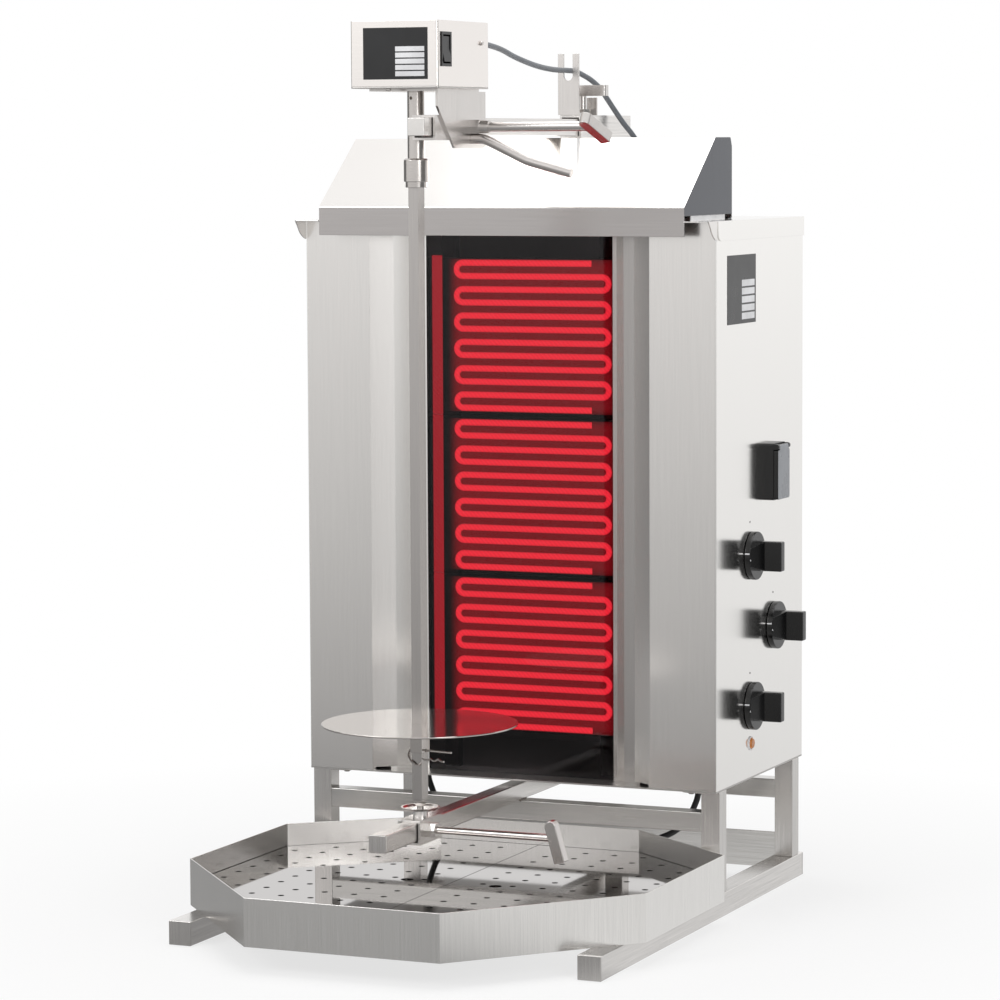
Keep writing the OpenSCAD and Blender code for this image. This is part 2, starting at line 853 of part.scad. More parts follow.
module mast_cut() {
    translate([arm_x, rear_post_y + post_w / 2]) square(post_w + 2 * mast_gap, center = true);
}

module base_pan() {
    color("gainsboro") placed() plate_xy(base_z, pan_t) difference() {
        translate([-side_x, 0]) square([housing_w, housing_d]);
        mast_cut();
        for (y = [post_setback, rear_post_y], x = [-1, 1])
            translate([x * (post_in - tab_l + post_w / 2), y + post_w / 2])
                circle(d = tab_screw_d + 0.5);
    }
}

module rear_panel() {
    color("gainsboro") placed() plate_xz(housing_d - sheet_t, sheet_t) difference() {
        translate([sheet_t - side_x, floor_z]) square([housing_w - 2 * sheet_t, wall_h]);
        for (row = [0, 1], k = [0:vent_n - 1])
            translate([(k - (vent_n - 1) / 2) * vent_pitch - side_x / 2,
                    floor_z + wall_h * (0.12 + 0.66 * row)])
                translate([-vent_w / 2, 0]) square([vent_w, vent_l]);
    }
}

module side_panel_left() {
    color("gainsboro") placed() plate_yz(-side_x, sheet_t)
        translate([0, floor_z]) square([housing_d, wall_h]);
}

module side_panel_right() {
    color("gainsboro") placed() plate_yz(side_x - sheet_t, sheet_t) difference() {
        translate([0, floor_z]) square([housing_d, wall_h]);
        for (p = knobs) translate(p) circle(d = neck_d + 0.5);
        translate([lamp_y, floor_z + lamp_z]) circle(d = lamp_d - 2 + 0.5);
        translate([socket_y, floor_z + socket_z]) circle(d = well_d / 2);
    }
}

// Flat wing with its slanted lip and the lip's hem
module wing() {
    path = rounded([[side_x - sheet_t, 0], [wing_x, 0], lip_end], bend_r + sheet_t);
    difference() {
        plate_xy(floor_z, wall_h) polygon(bent_sheet(path, sheet_t));
        translate([lip_end[0] - 5, -1, floor_z - 1]) cube([lip_w, lip_d + 5, lip_lift + 1]);
        translate([wing_x - 5, lip_d / 2, floor_z + lip_lift / 2]) rotate([90, 0, 0])
            cylinder(r = lip_lift / 2, h = lip_d + 6, center = true);
    }
}

module wing_left() {
    color("whitesmoke") placed() mirror([1, 0, 0]) wing();
}

module wing_right() {
    color("whitesmoke") placed() wing();
}

// Bent strip from behind the lip to the glass, which its land holds
module flank() {
    path = rounded([
        lip_back - flank_lap * lip_dir, lip_back, [lip_end[0] - facet_w, facet_d],
        [window_x + land_w, window_d - sheet_t], [window_x, window_d - sheet_t]
    ], bend_r);
    plate_xy(floor_z, wall_h) polygon(bent_sheet(path, sheet_t));
}

module flank_left() {
    color("lightgray") placed() mirror([1, 0, 0]) flank();
}

module flank_right() {
    color("lightgray") placed() flank();
}

// Top sheet with side and rear skirts outside the panels, and strips for the hood's ends
module lid() {
    out_x = side_x + sheet_t;
    color("whitesmoke") placed() {
        plate_xy(roof_z, sheet_t) difference() {
            translate([-out_x, 0]) square([2 * out_x, housing_d + sheet_t]);
            mast_cut();
        }
        both_sides() plate_yz(side_x, sheet_t) difference() {
            translate([skirt_setback, lid_z - skirt_h])
                square([housing_d + sheet_t - skirt_setback, skirt_h - sheet_t]);
            translate([skirt_setback, lid_z - skirt_h]) difference() {
                translate([-1, -1]) square(skirt_r + 1);
                translate([skirt_r, skirt_r]) circle(skirt_r);
            }
        }
        box([-side_x, housing_d, lid_z - skirt_h], [side_x, housing_d + sheet_t, roof_z]);
        both_sides() box([hood_w / 2 - 2 * sheet_t, 0, lid_z],
            [hood_w / 2 - sheet_t, upstand_l, lid_z + upstand_h]);
    }
}

// One sheet bent from the front band over the slope and the top down to the lid
function hood_path() =
    let (y0 = -hood_reach, y1 = y0 + slope_d, y2 = hood_back, y3 = y2 + chamfer_d)
    [
        [y0, lid_z - band_drop], [y0, lid_z - band_drop + band_h], [y1, hood_z],
        [y2, hood_z], [y3, hood_z - chamfer_h], [y3, lid_z], [y3 - hood_foot_d, lid_z]
    ];

module hood() {
    path = hood_path();
    inner = moved(path, -sheet_t);
    end_z = lid_z + hood_end_lift;
    color("lightgray") placed() {
        translate([-hood_w / 2, 0, 0]) rotate([90, 0, 90]) linear_extrude(hood_w)
            polygon(bent_sheet(rounded(path, bend_r + sheet_t), sheet_t));
        for (x = [-hood_w / 2, hood_w / 2 - sheet_t]) plate_yz(x, sheet_t) intersection() {
            polygon([for (i = [0:5]) (path[i] + inner[i]) / 2]);
            translate([-hood_reach, end_z]) square([housing_d, hood_h]);
        }
    }
}

// ---- Heaters ----

module glass_panel() {
    color([0.12, 0.1, 0.12]) placed()
        box([-glass_x, window_d, floor_z], [glass_x, glass_back, roof_z - glass_gap]);
}

module heater_rails() {
    path = [[0, 12], [0, 0], [heater_rail_w, 0], [heater_rail_w, 12]];
    color("silver") placed() both_sides() plate_xy(floor_z, wall_h)
        translate([heater_rail_x + heater_rail_w, heater_back]) mirror([1, 0])
            polygon(bent_sheet(path, -sheet_t));
}

module at_zone(i) {
    translate([0, board_y, floor_z + zone_first + i * zone_pitch]) children();
}

module heater_pans() {
    w = heater_pan_w;
    h = heater_pan_h;
    color("silver") placed() for (i = [0:zones - 1]) at_zone(i) difference() {
        translate([-w / 2, 0, -h / 2]) cube([w, board_t + sheet_t, h]);
        translate([sheet_t - w / 2, -1, sheet_t - h / 2])
            cube([w - 2 * sheet_t, board_t + 1, h - 2 * sheet_t]);
    }
}

module insulation_boards() {
    w = heater_pan_w - 2 * sheet_t;
    h = heater_pan_h - 2 * sheet_t;
    color([0.2, 0.18, 0.18]) placed() for (i = [0:zones - 1]) at_zone(i)
        translate([-w / 2, 0, -h / 2]) cube([w, board_t, h]);
}

// Half ring that joins two rows, open to the left for side = 1
module hairpin(side) {
    r = coil_pitch / 2;
    intersection() {
        difference() {
            circle(r + coil_w / 2);
            circle(r - coil_w / 2);
        }
        translate([side > 0 ? 0 : -2 * r, -2 * r]) square([2 * r, 4 * r]);
    }
}

// Ribbon laid in rows, with its two ends short on the right
module coil(i) {
    turn = (coil_pitch + coil_w) / 2;
    left = turn - coil_left;
    right = coil_right - turn;
    color("orangered") placed() at_zone(i) plate_xz(-coil_t, coil_t) {
        for (row = [0:coil_rows - 1]) {
            z = row * coil_pitch - coil_h / 2;
            end = row == 0 || row == coil_rows - 1;
            stop = end ? coil_right - coil_stub : right;
            translate([left, z - coil_w / 2]) square([stop - left, coil_w]);
        }
        for (row = [0:coil_rows - 2])
            translate([row % 2 == 0 ? left : right, (row + 0.5) * coil_pitch - coil_h / 2])
                hairpin(row % 2 == 0 ? -1 : 1);
        translate([-return_x, (strip_gap - zone_pitch) / 2])
            square([return_w, zone_pitch - strip_gap]);
    }
}

module heater_coil_bottom() {
    coil(0);
}

module heater_coil_middle() {
    coil(1);
}

module heater_coil_top() {
    coil(zones - 1);
}

// ---- Right side ----

module energy_regulators() {
    body_w = 40;
    body_t = 32;
    back = side_x - sheet_t;
    color("dimgray") placed() for (p = knobs) translate([0, p[0], p[1]]) {
        translate([back - body_t, -body_w / 2, -body_w / 2]) cube([body_t, body_w, body_w]);
        rod_x(back, side_x + 2, neck_d);
        rod_x(side_x, grip_z + grip_l - 8, shaft_d);
    }
}

module terminal_block() {
    color("ivory") placed() for (k = [0:4])
        translate([side_x - 120 + 15 * k, housing_d - 90, floor_z]) difference() {
            cube([15, 30, 22]);
            translate([7.5, 8, 12]) cylinder(d = 5, h = 11);
            translate([7.5, 22, 12]) cylinder(d = 5, h = 11);
        }
}

module indicator_lamp() {
    color("orange") placed() translate([0, lamp_y, floor_z + lamp_z]) {
        rod_x(side_x - 18, side_x, lamp_d - 2);
        rod_x(side_x, side_x + 1.5, lamp_d);
        translate([side_x + 1.5, 0, 0]) rotate([0, 90, 0])
            cylinder(d1 = lamp_d - 3, d2 = lamp_d - 7, h = 2.5);
    }
}

// Socket outlet with its well, its contacts' holes and the hinge's ears and pin
module socket_base() {
    z0 = floor_z + socket_z - socket_h / 2;
    y0 = socket_y - socket_w / 2;
    color([0.1, 0.1, 0.1]) placed() {
        difference() {
            translate([side_x, 0, 0]) rotate([90, 0, 90]) linear_extrude(socket_t)
                translate([y0, z0]) round_square(socket_w, socket_h, 3);
            translate([side_x + socket_t - 8, socket_y, z0 + socket_h / 2 - 5])
                rotate([0, 90, 0]) cylinder(d = well_d, h = 9);
            for (y = [-9.5, 9.5])
                translate([side_x + 1, socket_y + y, z0 + socket_h / 2 - 5])
                    rotate([0, 90, 0]) cylinder(d = 5, h = 9);
        }
        for (y = [y0, y0 + socket_w - ear_w]) {
            box([side_x + socket_t - 1, y, hinge_z - hinge_d / 2],
                [hinge_x, y + ear_w, hinge_z + hinge_d / 2]);
            translate([hinge_x, y, hinge_z]) rotate([-90, 0, 0])
                cylinder(d = hinge_d, h = ear_w);
        }
        translate([hinge_x, y0 + 1, hinge_z]) rotate([-90, 0, 0])
            cylinder(d = hinge_pin_d, h = socket_w - 2);
    }
}

module socket_flap() {
    gap = 0.3;
    z0 = floor_z + socket_z - socket_h / 2 + 1;
    y0 = socket_y - socket_w / 2 + ear_w + gap;
    l = socket_w - 2 * (ear_w + gap);
    side = socket_w / 2 - gap;
    shell_top = hinge_z - hinge_d / 2 - gap;
    color([0.07, 0.07, 0.07]) placed() difference() {
        union() {
            translate([hinge_x, y0, hinge_z]) rotate([-90, 0, 0]) cylinder(d = hinge_d - 1, h = l);
            box([hinge_x, y0, shell_top - 2], [hinge_x + hinge_d / 2 - 0.5, y0 + l, hinge_z]);
            difference() {
                translate([flap_x, 0, 0]) rotate([90, 0, 90]) linear_extrude(flap_t)
                    translate([socket_y - side, z0])
                        round_square(2 * side, shell_top - z0, 3);
                translate([flap_x - 1, 0, 0]) rotate([90, 0, 90])
                    linear_extrude(flap_t + 1 - flap_wall)
                        translate([socket_y - side + flap_wall, z0 + flap_wall])
                            round_square(2 * (side - flap_wall), shell_top - z0 - 2 * flap_wall, 2);
            }
        }
        translate([hinge_x, y0 - 1, hinge_z]) rotate([-90, 0, 0])
            cylinder(d = hinge_pin_d + 2 * run_gap, h = l + 2);
    }
}

// Control knob: disc, grip bar and the bore for the regulator's shaft
module knob(p) {
    back = side_x + panel_gap;
    color([0.06, 0.06, 0.06]) placed() translate([0, p[0], p[1]]) difference() {
        union() {
            rod_x(back, grip_z - 1.5, knob_d);
            translate([grip_z - 1.5, 0, 0]) rotate([0, 90, 0])
                cylinder(d1 = knob_d, d2 = knob_d - 3, h = 1.5);
            translate([grip_z, 0, 0]) rotate([90, 0, 90]) linear_extrude(grip_l)
                translate([-grip_t / 2, -grip_h / 2]) round_square(grip_t, grip_h, 3);
        }
        rod_x(back - 1, side_x + 3, neck_d + 1);
        rod_x(back, grip_z + grip_l - 6, shaft_d + 2 * run_gap);
    }
}

module knob_bottom() {
    knob(knobs[0]);
}

module knob_middle() {
    knob(knobs[1]);
}

module knob_top() {
    knob(knobs[2]);
}

// ---- Cables ----

// Gland whose face lies at the origin and whose mouth points along +Z
module gland() {
    hex_h = gland_h * 0.4;
    cap_h = (gland_h - hex_h) / 2;
    cylinder(d = gland_d, h = hex_h, $fn = 6);
    translate([0, 0, hex_h]) cylinder(d = gland_d * 0.8, h = cap_h);
    translate([0, 0, hex_h + cap_h]) cylinder(d1 = gland_d * 0.8, d2 = gland_d * 0.6, h = cap_h);
}

module cable_glands() {
    first = under_route[0];
    last = under_route[len(under_route) - 1];
    end = motor_route[len(motor_route) - 1];
    color([0.1, 0.1, 0.1]) placed() {
        for (p = [first, last]) translate([p[0], p[1], base_z]) mirror([0, 0, 1]) gland();
        translate([end[0], end[1], lid_z]) gland();
    }
}

module under_cable() {
    color([0.08, 0.08, 0.08]) placed() swept(under_route, under_cable_d, [0, 1, 0]);
}

module motor_cable() {
    color("slategray") placed() swept(motor_route, motor_cable_d, [1, 0, 0]);
}

// ---- Carriage ----

// Sleeve on the arm with its cheek plate, which folds over under the motor's base, and
// the clamp's nut and boss
module carriage_frame() {
    y0 = carriage_front + 1;
    y1 = carriage_front + carriage_l + 8;
    cut = 49;
    low = arm_z - cheek_down;
    nut_x = cheek_x + plate_t;
    boss_x = nut_x + nut_t;
    color("silver") placed() difference() {
        union() {
            translate([arm_x, carriage_front, carriage_z])
                tube_y(carriage_l, sleeve_w, sleeve_wall);
            plate_yz(cheek_x, plate_t) polygon([
                [y0, box_z - plate_t], [y0, box_z - 21], [y0 + cut, low], [y1 - 4, low],
                [y1, low + 4], [y1, box_z - plate_t]
            ]);
            box([box_x + 12, y0, box_z - plate_t],
                [nut_x, box_front + box_d - 2, box_z]);
            translate([0, upper_y, arm_z]) {
                hex_x(nut_x, boss_x, nut_af);
                rod_x(nut_x, boss_x + boss_t, upper_rod_d + 4);
            }
        }
        translate([0, upper_y, arm_z])
            rod_x(arm_x, boss_x + boss_t + 1, upper_rod_d + 2 * run_gap);
        translate([0, spit_y, box_z - plate_t - 1]) cylinder(d = drive_d + 1, h = plate_t + 2);
    }
}

// Bent round handle welded to the cheek plate under the clamp
module pull_handle() {
    drop = (upper_rod_d + 5 + handle_d) / 2 + 1;
    run = handle_run * [cos(handle_fall), -sin(handle_fall)];
    end = handle_end * [cos(handle_fall - 10), -sin(handle_fall - 10)];
    bend = [handle_bend, 0];
    route = rounded([[0, 0], bend, bend + run, bend + run + end], 2 * handle_d);
    color("silver") placed() translate([cheek_x + plate_t, upper_y, arm_z - drop])
        swept([for (p = route) [p[0], 0, p[1]]], handle_d, [0, 1, 0]);
}

module motor_base() {
    color("silver") placed() plate_xy(box_z, base_t) difference() {
        translate([box_x, box_front]) round_square(box_w, box_d, box_r);
        translate([0, spit_y]) circle(d = drive_d + 1);
    }
}

// Gear housing with the output's bore, and the motor on top of it
module gear_motor() {
    color("dimgray") placed() difference() {
        union() {
            translate([-gearbox_w / 2, spit_y - gearbox_w / 2, box_z + base_t])
                cube([gearbox_w, gearbox_l, gearbox_h]);
            translate([0, spit_y + motor_y, box_z + base_t + gearbox_h])
                cylinder(d = motor_d, h = motor_h);
        }
        translate([0, spit_y, box_z])
            cylinder(d = drive_d + 2 * run_gap, h = base_t + output_l);
    }
}

// Folded cover over the motor, open below, with the switch's cut-out
module motor_cover() {
    h = box_h - base_t;
    z0 = box_z + base_t;
    color("whitesmoke") placed() difference() {
        plate_xy(z0, h) translate([box_x, box_front]) round_square(box_w, box_d, box_r);
        plate_xy(z0 - 1, h - sheet_t + 1) translate([box_x + sheet_t, box_front + sheet_t])
            round_square(box_w - 2 * sheet_t, box_d - 2 * sheet_t, box_r - sheet_t / 2);
        translate([box_x + box_w, switch_y, switch_z])
            cube([4 * sheet_t, switch_w, switch_h], center = true);
        translate([motor_route[0][0], box_front + box_d, motor_route[0][2]]) rotate([90, 0, 0])
            cylinder(d = grommet_d + 0.2, h = 4 * sheet_t, center = true);
    }
}

// Switch frame in the cover's cut-out, with the pin that its rocker turns on
module rocker_frame() {
    rim = 1.5;
    wall = 2;
    deep = 14;
    x1 = box_x + box_w;
    low = [x1, switch_y - switch_w / 2, switch_z - switch_h / 2];
    high = [x1, switch_y + switch_w / 2, switch_z + switch_h / 2];
    color([0.05, 0.05, 0.05]) placed() {
        difference() {
            union() {
                box(low - [deep, 0, 0], high);
                box(low - [0, rim, rim], high + [rim, rim, rim]);
            }
            box(low + [wall - deep, wall, wall], high + [deep, -wall, -wall]);
        }
        translate([rocker_x, low[1] + 1, switch_z]) rotate([-90, 0, 0])
            cylinder(d = rocker_pin_d, h = switch_w - 2);
    }
}

// Grommet in the cover's rear wall, its mouth where the motor's cable starts
module cable_grommet() {
    rear = box_front + box_d;
    color([0.1, 0.1, 0.1]) placed() translate([motor_route[0][0], 0, motor_route[0][2]]) {
        translate([0, rear - sheet_t - 3, 0]) rotate([-90, 0, 0])
            cylinder(d = grommet_d, h = 3 + sheet_t);
        translate([0, rear, 0]) rotate([-90, 0, 0])
            cylinder(d1 = grommet_d + 4, d2 = grommet_d, h = motor_route[0][1] - rear);
    }
}

// Rocker whose lower half stands out at rest
module rocker() {
    w = switch_w - 5;
    h = switch_h / 2 - 4;
    color([0.05, 0.05, 0.05]) placed() translate([rocker_x, switch_y - w / 2, switch_z])
        difference() {
            rotate([-90, 0, 0]) linear_extrude(w)
                polygon([[-3, -4], [-3, 4], [4, h], [6, h], [3.5, 0], [3.5, -h], [1.5, -h]]);
            translate([0, -1, 0]) rotate([-90, 0, 0])
                cylinder(d = rocker_pin_d + 2 * run_gap, h = w + 2);
        }
}

// Lever bar with a rounded upper end, its screw's axis at the origin
module lever(rod_d) {
    rotate([0, -lever_lean, 0]) rotate([90, 0, 0]) translate([0, 0, -lever_w / 2])
        linear_extrude(lever_w) {
            translate([0, lever_up - lever_w / 2]) circle(d = lever_w);
            translate([-lever_w / 2, -lever_down])
                square([lever_w, lever_up + lever_down - lever_w / 2]);
        }
}

module upper_clamp() {
    color("silver") placed() translate([0, upper_y, arm_z]) rotate([upper_lever_turn, 0, 0]) {
        rod_x(arm_x + bar_w / 2 + film, upper_rod_x, upper_rod_d);
        translate([upper_rod_x, 0, 0]) lever(upper_rod_d);
    }
}

// ---- Spindle, spit and meat plate ----

module spun() {
    placed() translate([0, spit_y, 0]) rotate(spit_turn) children();
}

module drive_shaft() {
    color("silver") spun() difference() {
        translate([0, 0, coupling_top])
            cylinder(d = drive_d, h = box_z + base_t + output_l - 1 - coupling_top);
        translate([0, 0, box_z - 11]) rotate([90, 0, 0])
            cylinder(d = 4, h = drive_d + 2, center = true);
    }
}

module coupling() {
    w = spit_w + 2 * spit_gap;
    color("gray") spun() difference() {
        union() {
            translate([0, 0, coupling_z]) cylinder(d = ring_d, h = ring_h);
            translate([0, 0, coupling_z + ring_h])
                cylinder(d = coupling_d, h = coupling_h - ring_h - 2);
            translate([0, 0, coupling_top - 2]) cylinder(d1 = coupling_d, d2 = coupling_d - 4, h = 2);
        }
        translate([-w / 2, -w / 2, coupling_z - 1]) cube([w, w, socket_roof - coupling_z + 1]);
    }
}

// Square bar with a four-sided taper that runs into its round pivot
module spit() {
    taper_z = pivot_z + pivot_h;
    color("silver") spun() difference() {
        union() {
            translate([0, 0, pivot_z]) cylinder(d = pivot_d, h = pivot_h + 1);
            translate([0, 0, taper_z]) rotate(45)
                cylinder(d1 = (pivot_d + 0.5) * sqrt(2), d2 = spit_w * sqrt(2), h = taper_h, $fn = 4);
            translate([-spit_w / 2, -spit_w / 2, taper_z + taper_h])
                cube([spit_w, spit_w, spit_top - taper_z - taper_h]);
        }
        translate([0, 0, clip_z]) rotate([0, 90, 0])
            cylinder(d = clip_hole_d, h = 2 * spit_w, center = true);
    }
}

// Round plate on a square hub whose lower end straddles the clip
module meat_plate() {
    w = spit_w + 2 * spit_gap;
    color("silver") spun() difference() {
        union() {
            translate([0, 0, disc_top - plate_disc_t]) cylinder(d = plate_d, h = plate_disc_t);
            translate([-hub_w / 2, -hub_w / 2, hub_z]) cube([hub_w, hub_w, hub_h]);
        }
        translate([-w / 2, -w / 2, hub_z - 1]) cube([w, w, hub_h + plate_disc_t + 2]);
        translate([-hub_w, -clip_hole_d / 2, hub_z - 1])
            cube([2 * hub_w, clip_hole_d, clip_z - hub_z + 1 + clip_hole_d / 2]);
    }
}

// Clip: a straight leg through the spit, a loop before its front and a waved leg
module spring_clip() {
    front = -spit_w / 2 - clip_d / 2 - 0.6;
    out = spit_w / 2 + clip_d + 1;
    drop = 8;
    eye = [
        [-out, 0, 0], [-out - 3, -1, -1], [-out - 4, -3, -4], [-out - 2, front + 2, -8],
        [-out + 3, front, -13], [-out + 8, front, -16], [-1, front, -17.5],
        [4, front, -17], [8, front, -14], [9, front, -drop - 1]
    ];
    waved = [for (k = [1:8]) [9 + 4 * k, front, -drop - 2.2 * (1 - cos(120 * k)) / 1.5]];
    color("gray") spun() translate([0, 0, clip_z]) {
        rod_x(-out, clip_leg, clip_d);
        swept(concat(eye, waved), clip_d, [0.2, 1, 0.1]);
    }
}

// ---- Lower slider ----

// Sleeve on the lower bar with the clamp's nut and the spit's pivot dish
module lower_slider() {
    nut_l = 11;
    color("silver") placed() difference() {
        union() {
            translate([0, slider_front, slider_z]) tube_y(slider_l, sleeve_w, sleeve_wall);
            translate([0, lower_y, bar_z])
                hex_x(sleeve_w / 2, sleeve_w / 2 + nut_l, nut_af);
            translate([0, spit_y, slider_top]) {
                cylinder(d = collar_d, h = collar_h);
                translate([0, 0, collar_h])
                    cylinder(d1 = dish_d - 2 * dish_h, d2 = dish_d, h = dish_h);
            }
        }
        translate([0, lower_y, bar_z])
            rod_x(0, sleeve_w / 2 + nut_l + 1, lower_rod_d + 2 * run_gap);
        translate([0, spit_y, slider_top + collar_h + 1])
            cylinder(d1 = dish_d - 2 * dish_h - 4, d2 = dish_d - 2, h = dish_h);
        translate([0, spit_y, pivot_z - 0.3])
            cylinder(d = pivot_d + 2 * run_gap, h = pivot_h + dish_h);
    }
}

module lower_clamp() {
    color("silver") placed() translate([0, lower_y, bar_z]) {
        rod_x(bar_w / 2 + film, lower_rod_x, lower_rod_d);
        translate([lower_rod_x, 0, 0]) lever(lower_rod_d);
    }
}

module head_clamp() {
    start = arm_z + bar_w / 2 + film;
    color("silver") placed() translate([arm_x, head_y, 0]) {
        translate([0, 0, start]) cylinder(d = head_screw_d, h = head_lever_z - start);
        translate([-7.5, -head_lever_t / 2, head_lever_z])
            linear_extrude(head_lever_t) round_square(head_lever_l, head_lever_t, 3);
    }
}

// ---- Tray ----

module fat_tray() {
    color("gainsboro") placed() difference() {
        plate_xy(rail_w, tray_h) polygon(tray_plan);
        plate_xy(tray_floor, tray_h) polygon(drawn_in(tray_plan, tray_t));
    }
}

// Outline of the insert's right half: the tray's outline drawn in, right of the seam
module insert_plan(d) {
    intersection() {
        polygon(drawn_in(tray_plan, insert_inset + d));
        translate([seam_gap / 2 + d, -tray_reach]) square([2 * tray_x, 2 * tray_reach]);
    }
}

// One polished half with its drain lattice, finger hole and folded skirt
module insert_half() {
    cols = floor(tray_x / drain_pitch);
    rows = floor(tray_reach / drain_pitch);
    edge = insert_inset + tray_t + drain_d;
    difference() {
        plate_xy(tray_floor, insert_h) insert_plan(0);
        plate_xy(tray_floor - 1, insert_h - tray_t + 1) insert_plan(tray_t);
        plate_xy(insert_z - 1, tray_t + 2) {
            for (c = [1:cols], r = [-2:rows])
                let (p = [c * drain_pitch, -drain_row - r * drain_pitch])
                if (inside_by(tray_plan, p) > edge) translate(p) circle(d = drain_d);
            translate([finger_x, -finger_y]) circle(d = finger_d);
        }
    }
}

module insert_left() {
    color("silver") placed() mirror([1, 0, 0]) insert_half();
}

module insert_right() {
    color("silver") placed() insert_half();
}

rail_left();
rail_right();
end_caps();
uprights();
crossbars();
rear_plate();
lower_bar();
tab_screws();
mast();
arm_socket();
arm_bar();
cable_fork();
base_pan();
rear_panel();
side_panel_left();
side_panel_right();
wing_left();
wing_right();
flank_left();
flank_right();
lid();
hood();
glass_panel();
heater_rails();
heater_pans();
insulation_boards();
heater_coil_bottom();
heater_coil_middle();
heater_coil_top();
energy_regulators();
terminal_block();
indicator_lamp();
socket_base();
cable_glands();
under_cable();
motor_cable();
carriage_frame();
pull_handle();
motor_base();
gear_motor();
motor_cover();
cable_grommet();
rocker_frame();
rocker();
upper_clamp();
drive_shaft();
coupling();
spit();
meat_plate();
spring_clip();
lower_slider();
lower_clamp();
head_clamp();
knob_bottom();
knob_middle();
knob_top();
socket_flap();
fat_tray();
insert_left();
insert_right();
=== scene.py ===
"""Looks of a vertical electric skewer grill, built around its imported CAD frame."""

from __future__ import annotations

import json
import logging
import math
from collections.abc import Callable, Iterator, Sequence
from contextlib import contextmanager
from dataclasses import dataclass
from enum import Enum

import bmesh
import bpy
from bpy.types import (
    ID, Curve, Material, MeshPolygon, Node, NodeSocket, NodeTree, Object)
from mathutils import Euler, Matrix, Vector

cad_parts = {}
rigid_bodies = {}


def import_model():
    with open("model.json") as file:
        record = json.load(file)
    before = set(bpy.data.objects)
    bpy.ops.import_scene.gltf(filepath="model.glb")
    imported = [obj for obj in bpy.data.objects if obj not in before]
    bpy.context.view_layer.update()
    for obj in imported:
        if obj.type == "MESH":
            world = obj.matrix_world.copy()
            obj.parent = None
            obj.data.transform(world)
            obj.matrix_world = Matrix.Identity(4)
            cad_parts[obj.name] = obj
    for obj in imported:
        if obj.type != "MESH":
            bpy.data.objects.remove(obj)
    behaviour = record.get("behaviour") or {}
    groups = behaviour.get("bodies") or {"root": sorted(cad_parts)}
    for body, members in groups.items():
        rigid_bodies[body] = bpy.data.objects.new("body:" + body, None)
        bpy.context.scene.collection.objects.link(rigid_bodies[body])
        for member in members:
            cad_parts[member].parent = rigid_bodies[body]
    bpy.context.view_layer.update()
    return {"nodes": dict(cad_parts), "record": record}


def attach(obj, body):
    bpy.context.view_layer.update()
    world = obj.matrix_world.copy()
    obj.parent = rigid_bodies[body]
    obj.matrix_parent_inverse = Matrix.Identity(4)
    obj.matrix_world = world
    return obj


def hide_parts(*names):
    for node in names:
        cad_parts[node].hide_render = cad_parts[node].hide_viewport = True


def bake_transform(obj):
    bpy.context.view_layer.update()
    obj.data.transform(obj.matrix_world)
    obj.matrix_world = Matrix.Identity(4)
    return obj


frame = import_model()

# The maker's drawing is in millimetres from the middle of the housing's front edge at the
# floor: X to the right, Y to the back and Z up. The frame's origin lies at this point of it.
DRAWING_ORIGIN = (10.0, -85.25)

log = logging.getLogger("grill")

Triple = tuple[float, float, float]


def at(x: float, y: float, z: float) -> Vector:
    """Turns a point of the maker's drawing into the frame's metres.

    Args:
        x: Millimetres to the right of the housing's middle.
        y: Millimetres behind the housing's front edge.
        z: Millimetres above the floor.

    Returns:
        The same point in the frame.
    """
    return Vector((x - DRAWING_ORIGIN[0], y - DRAWING_ORIGIN[1], z)) / 1000


# ---- Shader helpers ----


def linear(colour: str) -> tuple[float, float, float, float]:
    """Turns an sRGB hex colour into the linear one that shaders use.

    Args:
        colour: Six hex digits after a hash sign.

    Returns:
        Red, green, blue and an alpha of 1.
    """
    parts = [int(colour[i:i + 2], 16) / 255 for i in (1, 3, 5)]
    r, g, b = (c / 12.92 if c <= 0.04045 else ((c + 0.055) / 1.055) ** 2.4 for c in parts)
    return (r, g, b, 1.0)


def add_node(
    tree: NodeTree,
    kind: str,
    inputs: dict[str | int, object] | None = None,
    **settings: object,
) -> Node:
    """Adds a shader node with its settings and links.

    Args:
        tree: The material's or world's node tree.
        kind: The node type's name without its prefix, such as TexNoise.
        inputs: What goes into each input: a value, or another node's output to link.
        settings: The node's own properties.

    Returns:
        The new node.
    """
    node = tree.nodes.new("ShaderNode" + kind)
    for name, value in settings.items():
        setattr(node, name, value)
    for name, value in (inputs or {}).items():
        if isinstance(value, NodeSocket):
            tree.links.new(value, node.inputs[name])
        else:
            node.inputs[name].default_value = value
    return node


def new_material(name: str) -> tuple[Material, NodeTree, Node]:
    """Makes an empty node material.

    Args:
        name: The finish's common name.

    Returns:
        The material, its tree and its output node.
    """
    material = bpy.data.materials.new(name)
    material.use_nodes = True
    tree = material.node_tree
    tree.nodes.clear()
    return material, tree, add_node(tree, "OutputMaterial")


# A noise's values lie mostly between these two.
NOISE_LOW, NOISE_HIGH = 0.3, 0.7


def mottled(
    tree: NodeTree, colour: str, noise: Node, low: float, high: float
) -> tuple[NodeSocket, NodeSocket]:
    """Varies a colour's lightness with a noise.

    Args:
        tree: The material's node tree.
        colour: The sRGB hex colour.
        noise: The noise node.
        low: The factor where the noise is low.
        high: The factor where it is high.

    Returns:
        The varied colour, and the factor by itself.
    """
    factor = add_node(tree, "MapRange", {
        "Value": noise.outputs[0], "From Min": NOISE_LOW, "From Max": NOISE_HIGH,
        "To Min": low, "To Max": high}).outputs[0]
    tinted = add_node(tree, "Mix", {0: 1.0, 6: linear(colour), 7: factor},
                      data_type="RGBA", blend_type="MULTIPLY")
    return tinted.outputs[2], factor


# ---- Finishes ----


